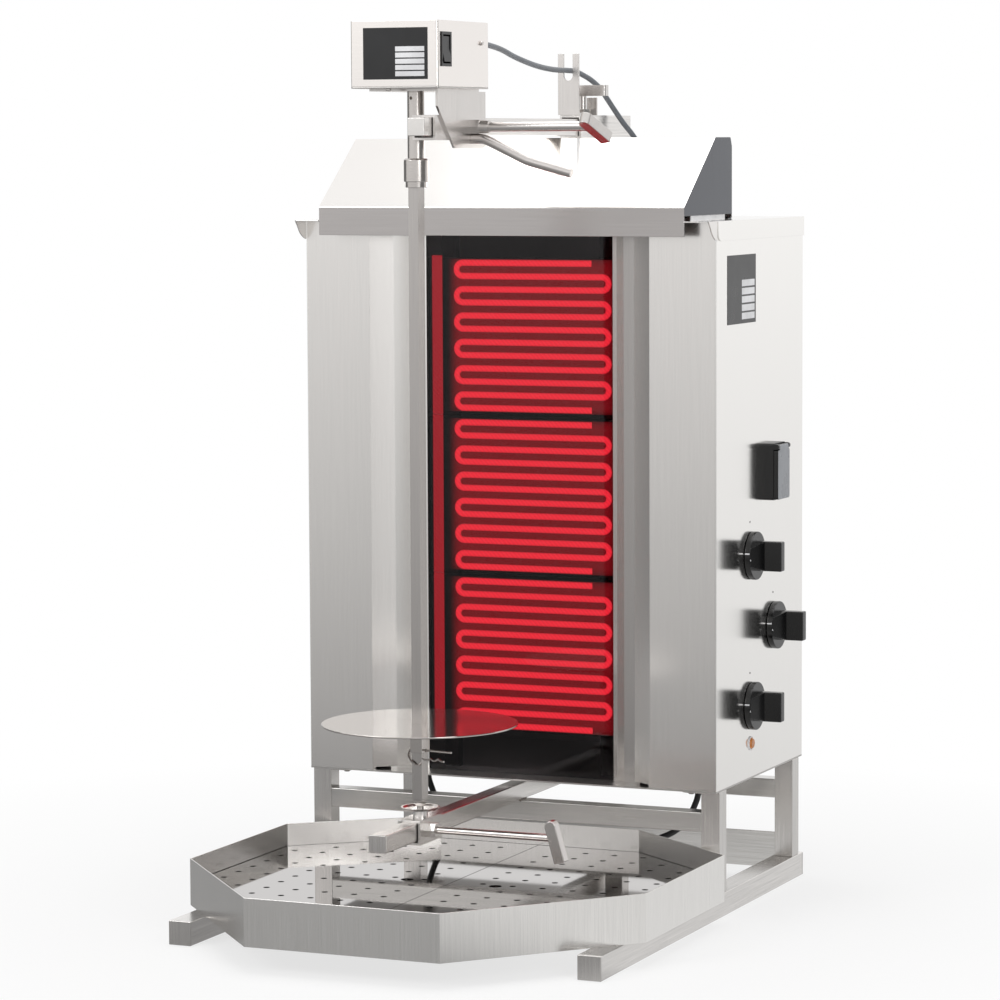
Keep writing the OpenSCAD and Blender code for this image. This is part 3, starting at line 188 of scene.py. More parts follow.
@dataclass(frozen=True)
class Surface:
    """What every finish shares: its common name, and how its material is put together."""

    name: str

    def shader(self, tree: NodeTree, place: NodeSocket) -> Node:
        """Adds the finish's nodes.

        Args:
            tree: The material's node tree.
            place: Gives the place on the piece, in metres.

        Returns:
            The last node, which goes to the material's output.
        """
        raise NotImplementedError

    def material(self) -> Material:
        """Builds the whole material."""
        material, tree, out = new_material(self.name)
        place = add_node(tree, "TexCoord").outputs["Object"]
        tree.links.new(self.shader(tree, place).outputs[0], out.inputs[0])
        return material


@dataclass(frozen=True)
class Steel(Surface):
    """Stainless steel, 18/10, that was rolled, drawn, ground or polished.

    The eye sees a nearly white metal whose fine parallel grain draws reflections out
    across it, with faint clouds where it was wiped. The grain's lengths are millimetres
    along X, Y and Z, and it is drawn coarser than the real one, so that it shows.
    """

    colour: str
    roughness: float
    grain: Triple
    grain_depth: float = 0.1
    tint: float = 0.04
    cloud: float = 0.04

    def shader(self, tree: NodeTree, place: NodeSocket) -> Node:
        """Draws the grain and the wiped clouds."""
        lines = add_node(tree, "Mapping", {
            "Vector": place, "Scale": tuple(1000 / g for g in self.grain)})
        grain = add_node(tree, "TexNoise", {
            "Vector": lines.outputs[0], "Scale": 1.0, "Detail": 2.0, "Roughness": 0.6})
        wipe = add_node(tree, "TexNoise", {
            "Vector": place, "Scale": 9.0, "Detail": 3.0, "Roughness": 0.5})
        colour, _ = mottled(tree, self.colour, grain, 1.0 - self.tint, 1.0 + self.tint)
        rough = add_node(tree, "MapRange", {
            "Value": wipe.outputs[0], "From Min": NOISE_LOW, "From Max": NOISE_HIGH,
            "To Min": self.roughness * (1 - self.cloud),
            "To Max": self.roughness * (1 + self.cloud)})
        shader = add_node(tree, "BsdfPrincipled", {
            "Base Color": colour, "Metallic": 1.0, "Roughness": rough.outputs[0]})
        if self.grain_depth > 0:
            bump = add_node(tree, "Bump", {
                "Height": grain.outputs[0], "Strength": self.grain_depth, "Distance": 0.0001})
            tree.links.new(bump.outputs[0], shader.inputs["Normal"])
        return shader


@dataclass(frozen=True)
class Moulded(Surface):
    """A moulded plastic, rubber or enamel: even in colour, with a fine grain."""

    colour: str
    roughness: float
    grain_mm: float = 0.8
    grain_depth: float = 0.15
    ior: float = 1.5
    spread: float = 0.04
    shades: tuple[float, float] = (0.85, 1.15)

    def shader(self, tree: NodeTree, place: NodeSocket) -> Node:
        """Draws the grain, and faint dusty patches."""
        grain = add_node(tree, "TexNoise", {
            "Vector": place, "Scale": 1000 / self.grain_mm, "Detail": 2.0})
        dust = add_node(tree, "TexNoise", {"Vector": place, "Scale": 25.0, "Detail": 3.0})
        colour, _ = mottled(tree, self.colour, dust, *self.shades)
        rough = add_node(tree, "MapRange", {
            "Value": dust.outputs[0], "From Min": NOISE_LOW, "From Max": NOISE_HIGH,
            "To Min": self.roughness - self.spread, "To Max": self.roughness + self.spread})
        bump = add_node(tree, "Bump", {
            "Height": grain.outputs[0], "Strength": self.grain_depth, "Distance": 0.0002})
        return add_node(tree, "BsdfPrincipled", {
            "Base Color": colour, "Roughness": rough.outputs[0], "IOR": self.ior,
            "Normal": bump.outputs[0]})


@dataclass(frozen=True)
class TintedGlass(Surface):
    """Glass ceramic before the heaters: a grey tint with a clear window's gloss."""

    colour: str
    roughness: float
    ior: float

    def shader(self, tree: NodeTree, place: NodeSocket) -> Node:
        """Draws the tint, with a haze that comes and goes."""
        haze = add_node(tree, "TexNoise", {"Vector": place, "Scale": 14.0, "Detail": 1.0})
        rough = add_node(tree, "MapRange", {
            "Value": haze.outputs[0], "To Min": 0.5 * self.roughness,
            "To Max": 1.5 * self.roughness})
        return add_node(tree, "BsdfPrincipled", {
            "Base Color": linear(self.colour), "Roughness": rough.outputs[0],
            "IOR": self.ior, "Transmission Weight": 1.0})


@dataclass(frozen=True)
class Glow(Surface):
    """Corrugated resistance ribbon at red heat, cooler towards its edges.

    The piece's own attribute "glow_share" runs from 0 at an edge to 1 in the middle. The
    corrugation's relief is painted into the glow as painted shade, drawn coarser than the
    real one, so that it still shows.
    """

    colour: str
    strength: float
    cold: str = "#2a1414"
    edge_share: float = 0.16
    ripple_mm: float = 6.0
    ripple: tuple[float, float] = (0.84, 1.08)

    def shader(self, tree: NodeTree, place: NodeSocket) -> Node:
        """Draws the heat across the ribbon, with the corrugation's painted shade in it."""
        heat = add_node(tree, "Attribute", attribute_name="glow_share")
        level = add_node(tree, "MapRange", {
            "Value": heat.outputs["Fac"], "To Min": self.strength * self.edge_share,
            "To Max": self.strength}, interpolation_type="SMOOTHSTEP")
        ripple = add_node(tree, "TexWave", {
            "Vector": place, "Scale": WAVE_MM / self.ripple_mm, "Distortion": 0.4},
            bands_direction="DIAGONAL")
        low, high = self.ripple
        # Painted shade of the corrugation: the glow is darker and lighter in bands.
        shade = add_node(tree, "MapRange", {
            "Value": ripple.outputs["Fac"], "To Min": low, "To Max": high})
        light = add_node(tree, "Math", {0: level.outputs[0], 1: shade.outputs[0]},
                         operation="MULTIPLY")
        return add_node(tree, "BsdfPrincipled", {
            "Base Color": linear(self.cold), "Roughness": 0.7,
            "Emission Color": linear(self.colour), "Emission Strength": light.outputs[0]})


@dataclass(frozen=True)
class Fibre(Surface):
    """Pressed ceramic fibre board: matt, with a felted nap, and the ribbon's light painted dull
    red on it.

    The painted red fields repeat: each axis has its field's middle, half width and spacing.
    """

    colour: str
    # The colour of the painted light that the ribbon casts on the board
    glow: str
    strength: float
    nap: tuple[float, float] = (0.75, 1.2)
    fields: tuple[tuple[str, float, float, float], ...] = (
        ("X", 0.006, 0.111, 1.0), ("Z", 0.317, 0.098, 0.206))
    fade: float = 0.009

    def shader(self, tree: NodeTree, place: NodeSocket) -> Node:
        """Draws the nap, and multiplies the painted light's fades along both axes."""
        nap = add_node(tree, "TexNoise", {"Vector": place, "Scale": 700.0, "Detail": 4.0})
        colour, factor = mottled(tree, self.colour, nap, *self.nap)
        apart = add_node(tree, "SeparateXYZ", {0: place})
        level = add_node(tree, "Math", {0: factor, 1: self.strength}, operation="MULTIPLY")
        for axis, middle, half, pitch in self.fields:
            off = add_node(tree, "Math", {0: apart.outputs[axis], 1: middle},
                           operation="SUBTRACT")
            near = add_node(tree, "Math", {0: off.outputs[0], 1: pitch / 2, 2: -pitch / 2},
                            operation="WRAP")
            far = add_node(tree, "Math", {0: near.outputs[0]}, operation="ABSOLUTE")
            edge = add_node(tree, "MapRange", {
                "Value": far.outputs[0], "From Min": half + self.fade,
                "From Max": half - self.fade}, interpolation_type="SMOOTHSTEP")
            level = add_node(tree, "Math", {0: level.outputs[0], 1: edge.outputs[0]},
                             operation="MULTIPLY")
        return add_node(tree, "BsdfPrincipled", {
            "Base Color": colour, "Roughness": 0.95, "Emission Color": linear(self.glow),
            "Emission Strength": level.outputs[0]})


@dataclass(frozen=True)
class Lens(Surface):
    """Clear amber acrylic of a signal lamp, slightly see-through."""

    colour: str

    def shader(self, tree: NodeTree, place: NodeSocket) -> Node:
        """Draws the lens with its small facets."""
        facets = add_node(tree, "TexVoronoi", {"Vector": place, "Scale": 900.0})
        bump = add_node(tree, "Bump", {
            "Height": facets.outputs[0], "Strength": 0.3, "Distance": 0.0005})
        return add_node(tree, "BsdfPrincipled", {
            "Base Color": linear(self.colour), "Roughness": 0.12, "IOR": 1.49,
            "Transmission Weight": 0.35, "Normal": bump.outputs[0]})


# A diagonal wave texture of scale 1 repeats after this many millimetres along X or Z.
WAVE_MM = 628.0

# How a steel's grain lies
UPRIGHT = (0.9, 0.9, 90.0)
ALONG_X = (90.0, 0.9, 0.9)
ALONG_Y = (0.9, 90.0, 0.9)


class Finish(Enum):
    """Every finish that the grill's pieces choose from."""

    # Ground tubes show streaks along their length, up to a tenth darker or lighter.
    TUBE_UPRIGHT = Steel("Ground stainless tube, upright", "#d2cfcc", 0.26, UPRIGHT, 0.05, 0.1)
    TUBE_DEEP = Steel(
        "Ground stainless tube, front to back", "#e0ddda", 0.24, ALONG_Y, 0.05, 0.1)
    TUBE_ACROSS = Steel("Ground stainless tube, across", "#ceccc9", 0.24, ALONG_X, 0.05, 0.1)
    # Satin sheets look nearly even, and blur what they reflect.
    PANEL = Steel("Satin stainless sheet, side", "#f4f2ef", 0.16, UPRIGHT, 0.0, 0.012)
    WING = Steel("Satin stainless sheet, front", "#e6e3e0", 0.2, UPRIGHT, 0.01, 0.02)
    # The right flank's darker steel is painted shade; the left flank has the side panel's
    # lighter steel.
    FLANK = Steel("Satin stainless sheet, inner flank, painted shade", "#c4c0bd", 0.22, UPRIGHT, 0.02, 0.03)
    BAND = Steel("Satin stainless sheet, hood's band", "#b4b0ae", 0.26, ALONG_X, 0.02, 0.03)
    COVER = Steel(
        "Satin stainless sheet, motor cover", "#efeae6", 0.22, ALONG_X, 0.01, 0.02)
    TRAY = Steel("Satin stainless sheet, tray", "#f0eeeb", 0.24, UPRIGHT, 0.01, 0.05)
    # Mill sheets are duller. The hood's ends are darker than real steel, as in the photo.
    SHEET = Steel("Mill stainless sheet", "#bcb9b6", 0.32, UPRIGHT)
    # The hood's ends have painted shade: a darker copy of the hood's steel.
    HOOD_END = Steel("Mill stainless sheet, hood's end, painted shade", "#4c4e54", 0.24, UPRIGHT, 0.02, 0.12)
    # Years of heat leave a dull sheet, nearly black.
    BURNT = Steel("Heat-darkened stainless sheet", "#2e2a2b", 0.5, UPRIGHT)
    # Polished sheets mirror what stands round them.
    # The hood's slope has painted light: a brighter copy of the hood's steel on its upward
    # faces.
    SLOPE = Steel("Bright annealed stainless sheet with painted light", "#f2efec", 0.15, ALONG_X, 0.0, 0.01)
    DISC = Steel("Polished stainless plate", "#c3beba", 0.12, ALONG_X, 0.0, 0.02)
    MIRROR = Steel("Mirror polished stainless sheet", "#aeaaa8", 0.04, ALONG_X, 0.0, 0.02)
    # Drawn and turned metal is bright, with faint fine lines.
    PLATE = Steel("Ground stainless plate", "#d2cecb", 0.26, UPRIGHT, 0.03, 0.05)
    ROD = Steel("Drawn stainless rod", "#cdc8c5", 0.2, ALONG_X, 0.02, 0.04)
    SPIT = Steel("Drawn stainless square bar", "#bab6b3", 0.24, UPRIGHT, 0.02, 0.04)
    TURNED = Steel("Turned stainless steel", "#c9c4c0", 0.2, ALONG_X, 0.02, 0.04)
    # A weld is scaly, and brownish from its heat.
    WELD = Steel("Heat-tinted weld", "#8f8781", 0.35, ALONG_X, 0.2, 0.15)
    # Phenolic and nylon gleam, and rubber stays dull.
    KNOB = Moulded("Moulded black phenolic", "#070708", 0.22, grain_depth=0.03)
    PLASTIC = Moulded("Moulded black nylon", "#0e0e0f", 0.3, grain_depth=0.04)
    # The flap's outer face is painted grey: a painted reflection on black nylon.
    FLAP = Moulded("Moulded black nylon, flap's painted reflection", "#84878c", 0.28, grain_depth=0.03)
    RUBBER = Moulded("Black chloroprene sheath", "#121214", 0.5)
    CABLE = Moulded("Grey chloroprene sheath", "#6a6e74", 0.4)
    # Enamel and glaze are smooth skins with a soft gloss.
    MOTOR = Moulded("Enamelled casting", "#46474b", 0.4)
    CERAMIC = Moulded("Glazed steatite", "#efe9da", 0.2)
    ENAMEL = Moulded("Black enamelled tin", "#101012", 0.3, grain_depth=0.02)
    # This white is also painted light on steel: the lid's spacers, the brim's underside and the
    # lamp's bezel.
    WHITE = Moulded("White enamel field, and painted light on steel", "#e6e6e8", 0.4, grain_depth=0.02)
    # The ribbon glows bright through the dark pane, and its light is painted faintly on the
    # board behind it.
    GLASS = TintedGlass("Tinted glass ceramic", "#a2989c", 0.02, 1.3)
    RIBBON = Glow("Resistance ribbon at red heat", "#ff3040", 2.4)
    BOARD = Fibre("Pressed ceramic fibre", "#241c1e", "#ff2838", 0.45)
    # The unlit lens is warm and pale.
    LAMP = Lens("Amber acrylic lens", "#e08a3c")


_made: dict[Finish, Material] = {}


def material_of(finish: Finish) -> Material:
    """Gives a finish's material, made the first time it is asked for."""
    if finish not in _made:
        _made[finish] = finish.value.material()
    return _made[finish]


# ---- Modelling helpers ----

# Corners closer than this many metres are one corner.
MERGE = 1e-6

# A bead's scallops: their spacing, and the waist between them, in widths of the bead
WELD_STEP, WELD_WAIST = 0.7, 0.72

# A pan head's height, top, rim and socket, in diameters
PAN_HEAD = (0.5, 0.86, 0.12, 0.22)


def deselect_all() -> None:
    """Deselects every object."""
    bpy.ops.object.select_all(action="DESELECT")


def new_object(name: str, data: ID) -> Object:
    """Puts a new object with the given data into the scene."""
    obj = bpy.data.objects.new(name, data)
    bpy.context.scene.collection.objects.link(obj)
    return obj


def make_active(obj: Object) -> Object:
    """Selects one object alone and makes it active."""
    deselect_all()
    obj.select_set(True)
    bpy.context.view_layer.objects.active = obj
    return obj


@contextmanager
def editing(obj: Object, select: str = "FACE") -> Iterator[None]:
    """Works on one object in edit mode, with everything in it selected at the start."""
    make_active(obj)
    bpy.ops.object.mode_set(mode="EDIT")
    bpy.ops.mesh.select_mode(type=select)
    bpy.ops.mesh.select_all(action="SELECT")
    yield
    bpy.ops.object.mode_set(mode="OBJECT")


def select_faces(obj: Object, test: Callable[[bmesh.types.BMFace], bool]) -> None:
    """Selects the faces that pass a test, in edit mode.

    Args:
        obj: The object in edit mode.
        test: Says whether a face is wanted.
    """
    mesh = bmesh.from_edit_mesh(obj.data)
    bpy.ops.mesh.select_all(action="DESELECT")
    for face in mesh.faces:
        if test(face):
            face.select_set(True)
    bmesh.update_edit_mesh(obj.data)


def apply_modifier(obj: Object, kind: str, **settings: object) -> None:
    """Adds a modifier with its settings and applies it.

    Args:
        obj: The object.
        kind: The modifier's type.
        settings: Its properties.
    """
    modifier = obj.modifiers.new(kind, kind)
    for name, value in settings.items():
        setattr(modifier, name, value)
    make_active(obj)
    bpy.ops.object.modifier_apply(modifier=modifier.name)


def round_edges(obj: Object, mm: float, steps: int = 2, angle: float = 30) -> None:
    """Rounds the edges that are sharper than an angle.

    Args:
        obj: The piece.
        mm: The rounding's width.
        steps: How many faces make up the rounding.
        angle: Degrees between the faces of the flattest edge that is rounded.
    """
    apply_modifier(
        obj, "BEVEL", width=mm / 1000, segments=steps, limit_method="ANGLE",
        angle_limit=math.radians(angle), harden_normals=False)


def settle(obj: Object, smooth: float = 30) -> Object:
    """Puts a piece's place into its mesh and smooths its shading, with flat faces kept flat."""
    make_active(obj)
    bpy.ops.object.transform_apply(location=True, rotation=True, scale=True)
    bpy.ops.object.shade_smooth_by_angle(angle=math.radians(smooth))
    apply_modifier(obj, "WEIGHTED_NORMAL", mode="FACE_AREA", keep_sharp=True, weight=90)
    return obj


def block(name: str, low: Triple, high: Triple, mm: float = 0.4) -> Object:
    """Makes a block with rounded edges between two corners of the drawing."""
    deselect_all()
    a, b = at(*low), at(*high)
    bpy.ops.mesh.primitive_cube_add(size=1.0, location=(a + b) / 2)
    obj = bpy.context.object
    obj.name = name
    obj.scale = b - a
    bpy.ops.object.transform_apply(location=True, rotation=True, scale=True)
    round_edges(obj, mm)
    return settle(obj)


def rod(
    name: str, start: Triple, end: Triple, d: float, end_d: float | None = None,
    mm: float = 0.3, sides: int = 40,
) -> Object:
    """Makes a round rod or a taper with rounded rims.

    Args:
        name: The piece's name.
        start: The middle of its first end, in the drawing.
        end: The middle of its other end.
        d: Its diameter.
        end_d: The other end's diameter, where it tapers.
        mm: The width of the rims' rounding.
        sides: How many faces it has round it.

    Returns:
        The piece.
    """
    deselect_all()
    a, b = at(*start), at(*end)
    axis = b - a
    last = d if end_d is None else end_d
    bpy.ops.mesh.primitive_cone_add(
        vertices=sides, radius1=d / 2000, radius2=last / 2000, depth=axis.length,
        location=(a + b) / 2, rotation=axis.to_track_quat("Z", "Y").to_euler())
    obj = bpy.context.object
    obj.name = name
    round_edges(obj, mm, 2, 40)
    return settle(obj, 40)


def plate(
    name: str, outline: Sequence[Triple], thick: float, mm: float = 0.15
) -> Object:
    """Makes a flat plate behind an outline.

    Args:
        name: The piece's name.
        outline: The corners of its front, turning left as the front is looked at.
        thick: How far it reaches behind that front.
        mm: The width of its edges' rounding.

    Returns:
        The plate.
    """
    deselect_all()
    bpy.ops.mesh.primitive_circle_add(vertices=len(outline), fill_type="NGON")
    obj = bpy.context.object
    obj.name = name
    for corner, place in zip(obj.data.vertices, outline):
        corner.co = at(*place)
    apply_modifier(obj, "SOLIDIFY", thickness=thick / 1000, offset=-1.0)
    round_edges(obj, mm, 1)
    return settle(obj)


def new_curve(name: str, d: float, fine: int, capped: bool = True) -> Curve:
    """Starts a curve with a round section.

    Args:
        name: The curve's name.
        d: The section's diameter.
        fine: How finely the section is divided.
        capped: Whether its ends are closed.

    Returns:
        The curve, still without a route.
    """
    curve = bpy.data.curves.new(name, "CURVE")
    curve.dimensions = "3D"
    curve.bevel_depth = d / 2000
    curve.bevel_resolution = fine
    curve.use_fill_caps = capped
    return curve


def swept(name: str, curve: Curve) -> Object:
    """Turns a finished curve into a piece."""
    obj = new_object(name, curve)
    make_active(obj)
    bpy.ops.object.convert(target="MESH")
    return obj


def tube(
    name: str, route: Sequence[Triple], d: float, fine: int, smooth: bool = True
) -> Object:
    """Sweeps a round section along a route.

    Args:
        name: The piece's name.
        route: The points that it runs through, in the drawing.
        d: Its diameter.
        fine: How finely its section is divided.
        smooth: Whether the route is drawn smoothly through its points.

    Returns:
        The tube, as a mesh.
    """
    curve = new_curve(name, d, fine)
    curve.resolution_u = 6 if smooth else 1
    spline = curve.splines.new("BEZIER")
    spline.bezier_points.add(len(route) - 1)
    kind = "AUTO" if smooth else "VECTOR"
    for knot, point in zip(spline.bezier_points, route):
        knot.co = at(*point)
        knot.handle_left_type = knot.handle_right_type = kind
    obj = swept(name, curve)
    with editing(obj, "VERT"):
        bpy.ops.mesh.remove_doubles(threshold=MERGE)
    return settle(obj, 60)


def joined(name: str, parts: Sequence[Object]) -> Object:
    """Joins pieces of one finish into one piece."""
    make_active(parts[0])
    for part in parts:
        part.select_set(True)
    if len(parts) > 1:
        bpy.ops.object.join()
    parts[0].name = name
    return parts[0]


def weld(name: str, path: Sequence[Triple], d: float, closed: bool = False) -> Object:
    """Lays a scalloped weld bead along a path.

    Args:
        name: The piece's name.
        path: The corners that it runs through, in the drawing.
        d: Its width.
        closed: Whether it runs back to its start.

    Returns:
        The bead.
    """
    corners = [Vector(p) for p in path]
    if closed:
        corners.append(corners[0])
    points = []
    for a, b in zip(corners, corners[1:]):
        count = max(2, round((b - a).length / (WELD_STEP * d)))
        points += [a.lerp(b, k / count) for k in range(count)]
    curve = new_curve(name, d, 2, capped=not closed)
    spline = curve.splines.new("POLY")
    spline.points.add(len(points) - 1)
    spline.use_cyclic_u = closed
    for k, (knot, point) in enumerate(zip(spline.points, points)):
        knot.co = (*at(*point), 1.0)
        knot.radius = 1.0 if k % 2 == 0 else WELD_WAIST
    return settle(swept(name, curve), 50)


def screw(name: str, seat: Triple, out: Triple, d: float) -> Object:
    """Makes a pan head with a hexagonal socket.

    Args:
        name: The piece's name.
        seat: The middle of the face that it lies on, in the drawing.
        out: The direction that it looks along.
        d: The head's diameter.

    Returns:
        The screw.
    """
    height, top, rim, socket = (share * d for share in PAN_HEAD)
    tip = tuple(s + height * o for s, o in zip(seat, out))
    head = rod(name, seat, tip, d, top, rim, 36)
    facing = Vector(out)
    with editing(head):
        select_faces(head, lambda f: f.normal.dot(facing) > 0.99)
        bpy.ops.mesh.inset(thickness=socket / 1000)
        bpy.ops.mesh.inset(thickness=0.0, depth=-socket / 1000)
    return head


def body_of(node: str) -> str:
    """Names the CAD body that a node belongs to."""
    bodies = frame["record"]["behaviour"]["bodies"]
    return next(body for body, nodes in bodies.items() if node in nodes)


def coat(obj: Object, finish: Finish) -> None:
    """Gives a piece one finish all over."""
    obj.data.materials.clear()
    obj.data.materials.append(material_of(finish))


def hand_over(obj: Object, finish: Finish, like: str) -> None:
    """Gives a new piece its finish, and lets it ride as a CAD node does.

    Args:
        obj: The piece.
        finish: Its finish.
        like: The CAD node whose body it shares.
    """
    coat(obj, finish)
    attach(obj, body_of(like))
    log.info("%s rides on %s", obj.name, body_of(like))


def paint(node: str, finish: Finish) -> None:
    """Gives a CAD node its finish and leaves its shape alone."""
    obj = frame["nodes"][node]
    for part in [obj, *obj.children_recursive]:
        if part.type == "MESH":
            coat(part, finish)
    log.info("%s painted", node)


def copy_of(node: str, name: str) -> Object:
    """Copies a CAD node's mesh, with its loose triangles merged into flat faces."""
    obj = new_object(name, frame["nodes"][node].data.copy())
    with editing(obj, "VERT"):
        bpy.ops.mesh.remove_doubles(threshold=MERGE)
        bpy.ops.mesh.dissolve_limited(angle_limit=math.radians(0.5))
    return obj


def eased(node: str, finish: Finish, mm: float, steps: int = 2) -> Object:
    """Stands a copy with rounded edges in for a CAD node.

    Args:
        node: The node.
        finish: The copy's finish.
        mm: The width of the edges' rounding.
        steps: How many faces make up the rounding.

    Returns:
        The copy.
    """
    obj = copy_of(node, node + "_eased")
    round_edges(obj, mm, steps)
    settle(obj)
    hand_over(obj, finish, node)
    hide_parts(node)
    return obj


def refinish(
    obj: Object, finish: Finish, test: Callable[[MeshPolygon], bool]
) -> None:
    """Gives the faces of a piece that pass a test another finish."""
    obj.data.materials.append(material_of(finish))
    for face in obj.data.polygons:
        if test(face):
            face.material_index = len(obj.data.materials) - 1


# ---- Studio ----


@dataclass
class Studio:
    """Pale floor and backdrop, soft lamps and the photograph's camera."""

    eye: Triple = (1949.6, -4539.7, 974.8)
    yaw: float = 23.358
    pitch: float = -5.073
    roll: float = -0.273
    lens_mm: float = 139.87
    shift_y: float = -0.01121
    aim_z: float = 0.55
    card_grey: float = 0.22
    # The floor's greys for gloss: at 1 m and nearer, and this many decades further off
    decades: float = 1.64
    ahead: tuple[float, float] = (0.32, 0.91)
    behind: tuple[float, float] = (0.76, 1.0)

    def camera(self) -> None:
        """Puts the camera where the photograph was taken from."""
        data = bpy.data.cameras.new("Camera")
        data.lens = self.lens_mm
        data.sensor_width = 36.0
        data.shift_y = self.shift_y
        data.clip_end = 50.0
        camera = new_object("Camera", data)
        turn = Euler((math.radians(90 + self.pitch), 0.0, math.radians(self.yaw))).to_matrix()
        turn = turn @ Matrix.Rotation(math.radians(self.roll), 3, "Z")
        camera.matrix_world = Matrix.Translation(at(*self.eye)) @ turn.to_4x4()
        bpy.context.scene.camera = camera

    def floor(self) -> None:
        """Lays a white floor that keeps the grill's shadow.

        Polished steel sees it grey close by and paler further off, more so at the left front
        than at the right and behind, as on a floor that is lit from the right.
        """
        bpy.ops.mesh.primitive_plane_add(size=200.0, location=(0, 0, -0.0005))
        floor = bpy.context.object
        floor.name = "Floor"
        material, tree, out = new_material("White paper floor")
        place = add_node(tree, "TexCoord").outputs["Object"]
        far = add_node(tree, "VectorMath", {0: place}, operation="LENGTH").outputs["Value"]
        decades = add_node(tree, "Math", {0: far, 1: 10.0}, operation="LOGARITHM").outputs[0]
        ahead, behind = (add_node(tree, "MapRange", {
            "Value": decades, "From Max": self.decades, "To Min": near, "To Max": away})
            for near, away in (self.ahead, self.behind))
        way = add_node(tree, "VectorMath", {0: place}, operation="NORMALIZE")
        apart = add_node(tree, "SeparateXYZ", {0: way.outputs[0]})
        turn = add_node(tree, "Math", {
            0: apart.outputs["Y"], 1: 0.6, 2: apart.outputs["X"]}, operation="MULTIPLY_ADD")
        side = add_node(tree, "MapRange", {
            "Value": turn.outputs[0], "From Min": -0.1, "From Max": 0.45})
        level = add_node(tree, "Mix", {
            0: side.outputs[0], 2: ahead.outputs[0], 3: behind.outputs[0]})
        seen = add_node(tree, "LightPath")
        share = add_node(tree, "MapRange", {
            "Value": far, "From Min": 0.5, "From Max": 1.3, "To Min": 0.7, "To Max": 1.0})
        some = add_node(tree, "Math", {
            0: seen.outputs["Is Camera Ray"], 1: share.outputs[0]}, operation="MULTIPLY")
        matt = add_node(tree, "BsdfDiffuse", {"Color": linear("#f4f4f4")})
        white = add_node(tree, "Emission", {"Color": linear("#ffffff"), "Strength": 1.0})
        grey = add_node(tree, "Emission", {
            "Color": linear("#ffffff"), "Strength": level.outputs[0]})
        shown = add_node(tree, "MixShader", {
            0: some.outputs[0], 1: matt.outputs[0], 2: white.outputs[0]})
        both = add_node(tree, "MixShader", {
            0: seen.outputs["Is Glossy Ray"], 1: shown.outputs[0], 2: grey.outputs[0]})
        tree.links.new(both.outputs[0], out.inputs[0])
        floor.data.materials.append(material)

    def card(self, name: str, place: Triple, wide: float, high: float) -> None:
        """Stands a dark card beside the grill, which only its gloss can see.

        Args:
            name: The card's name.
            place: Its middle in the frame, in metres.
            wide: Its width along Y.
            high: Its height.
        """
        bpy.ops.mesh.primitive_plane_add(
            size=1.0, location=place, rotation=(math.radians(90), 0, math.radians(90)))
        card = bpy.context.object
        card.name = name
        card.scale = (wide, high, 1.0)
        for ray in ("camera", "diffuse", "transmission", "shadow"):
            setattr(card, "visible_" + ray, False)
        material, tree, out = new_material(name)
        shade = add_node(tree, "Emission", {
            "Color": linear("#ffffff"), "Strength": self.card_grey})
        tree.links.new(shade.outputs[0], out.inputs[0])
        card.data.materials.append(material)

    def lamp(self, name: str, place: Triple, size: float, watts: float) -> None:
        """Hangs a soft lamp that looks at the middle of the grill.

        Args:
            name: The lamp's name.
            place: Its place in the frame, in metres.
            size: Its side.
            watts: Its power.
        """
        data = bpy.data.lights.new(name, "AREA")
        data.size = size
        data.energy = watts
        lamp = new_object(name, data)
        lamp.location = place
        aim = Vector((0, 0, self.aim_z)) - Vector(place)
        lamp.rotation_euler = aim.to_track_quat("-Z", "Y").to_euler()

    def world(self) -> None:
        """Surrounds the grill with plain white to look at and grey to be lit by."""
        world = bpy.data.worlds.new("Studio")
        bpy.context.scene.world = world
        world.use_nodes = True
        tree = world.node_tree
        tree.nodes.clear()
        seen = add_node(tree, "LightPath")
        either = add_node(tree, "Math", {
            0: seen.outputs["Is Camera Ray"], 1: seen.outputs["Is Glossy Ray"]},
            operation="MAXIMUM")
        any_ray = add_node(tree, "Math", {
            0: either.outputs[0], 1: seen.outputs["Is Transmission Ray"]},
            operation="MAXIMUM")
        level = add_node(tree, "MapRange", {
            "Value": any_ray.outputs[0], "To Min": 0.55, "To Max": 1.0})
        sky = add_node(tree, "Background", {
            "Color": linear("#ffffff"), "Strength": level.outputs[0]})
        out = add_node(tree, "OutputWorld")
        tree.links.new(sky.outputs[0], out.inputs[0])

    def build(self) -> None:
        """Sets up the whole studio."""
        self.camera()
        self.floor()
        self.world()
        self.card("Card_right", (2.5, 0.0, 1.0), 2.6, 2.0)
        self.card("Card_left", (-2.4, 0.8, 1.0), 2.8, 2.0)
        self.lamp("Key", (-2.2, -3.2, 2.6), 1.6, 40)
        self.lamp("Fill", (3.0, -2.2, 1.8), 1.6, 30)
        self.lamp("Top", (0.0, 0.4, 3.2), 2.0, 30)
        bpy.context.scene.view_settings.view_transform = "Standard"


# ---- Cables ----


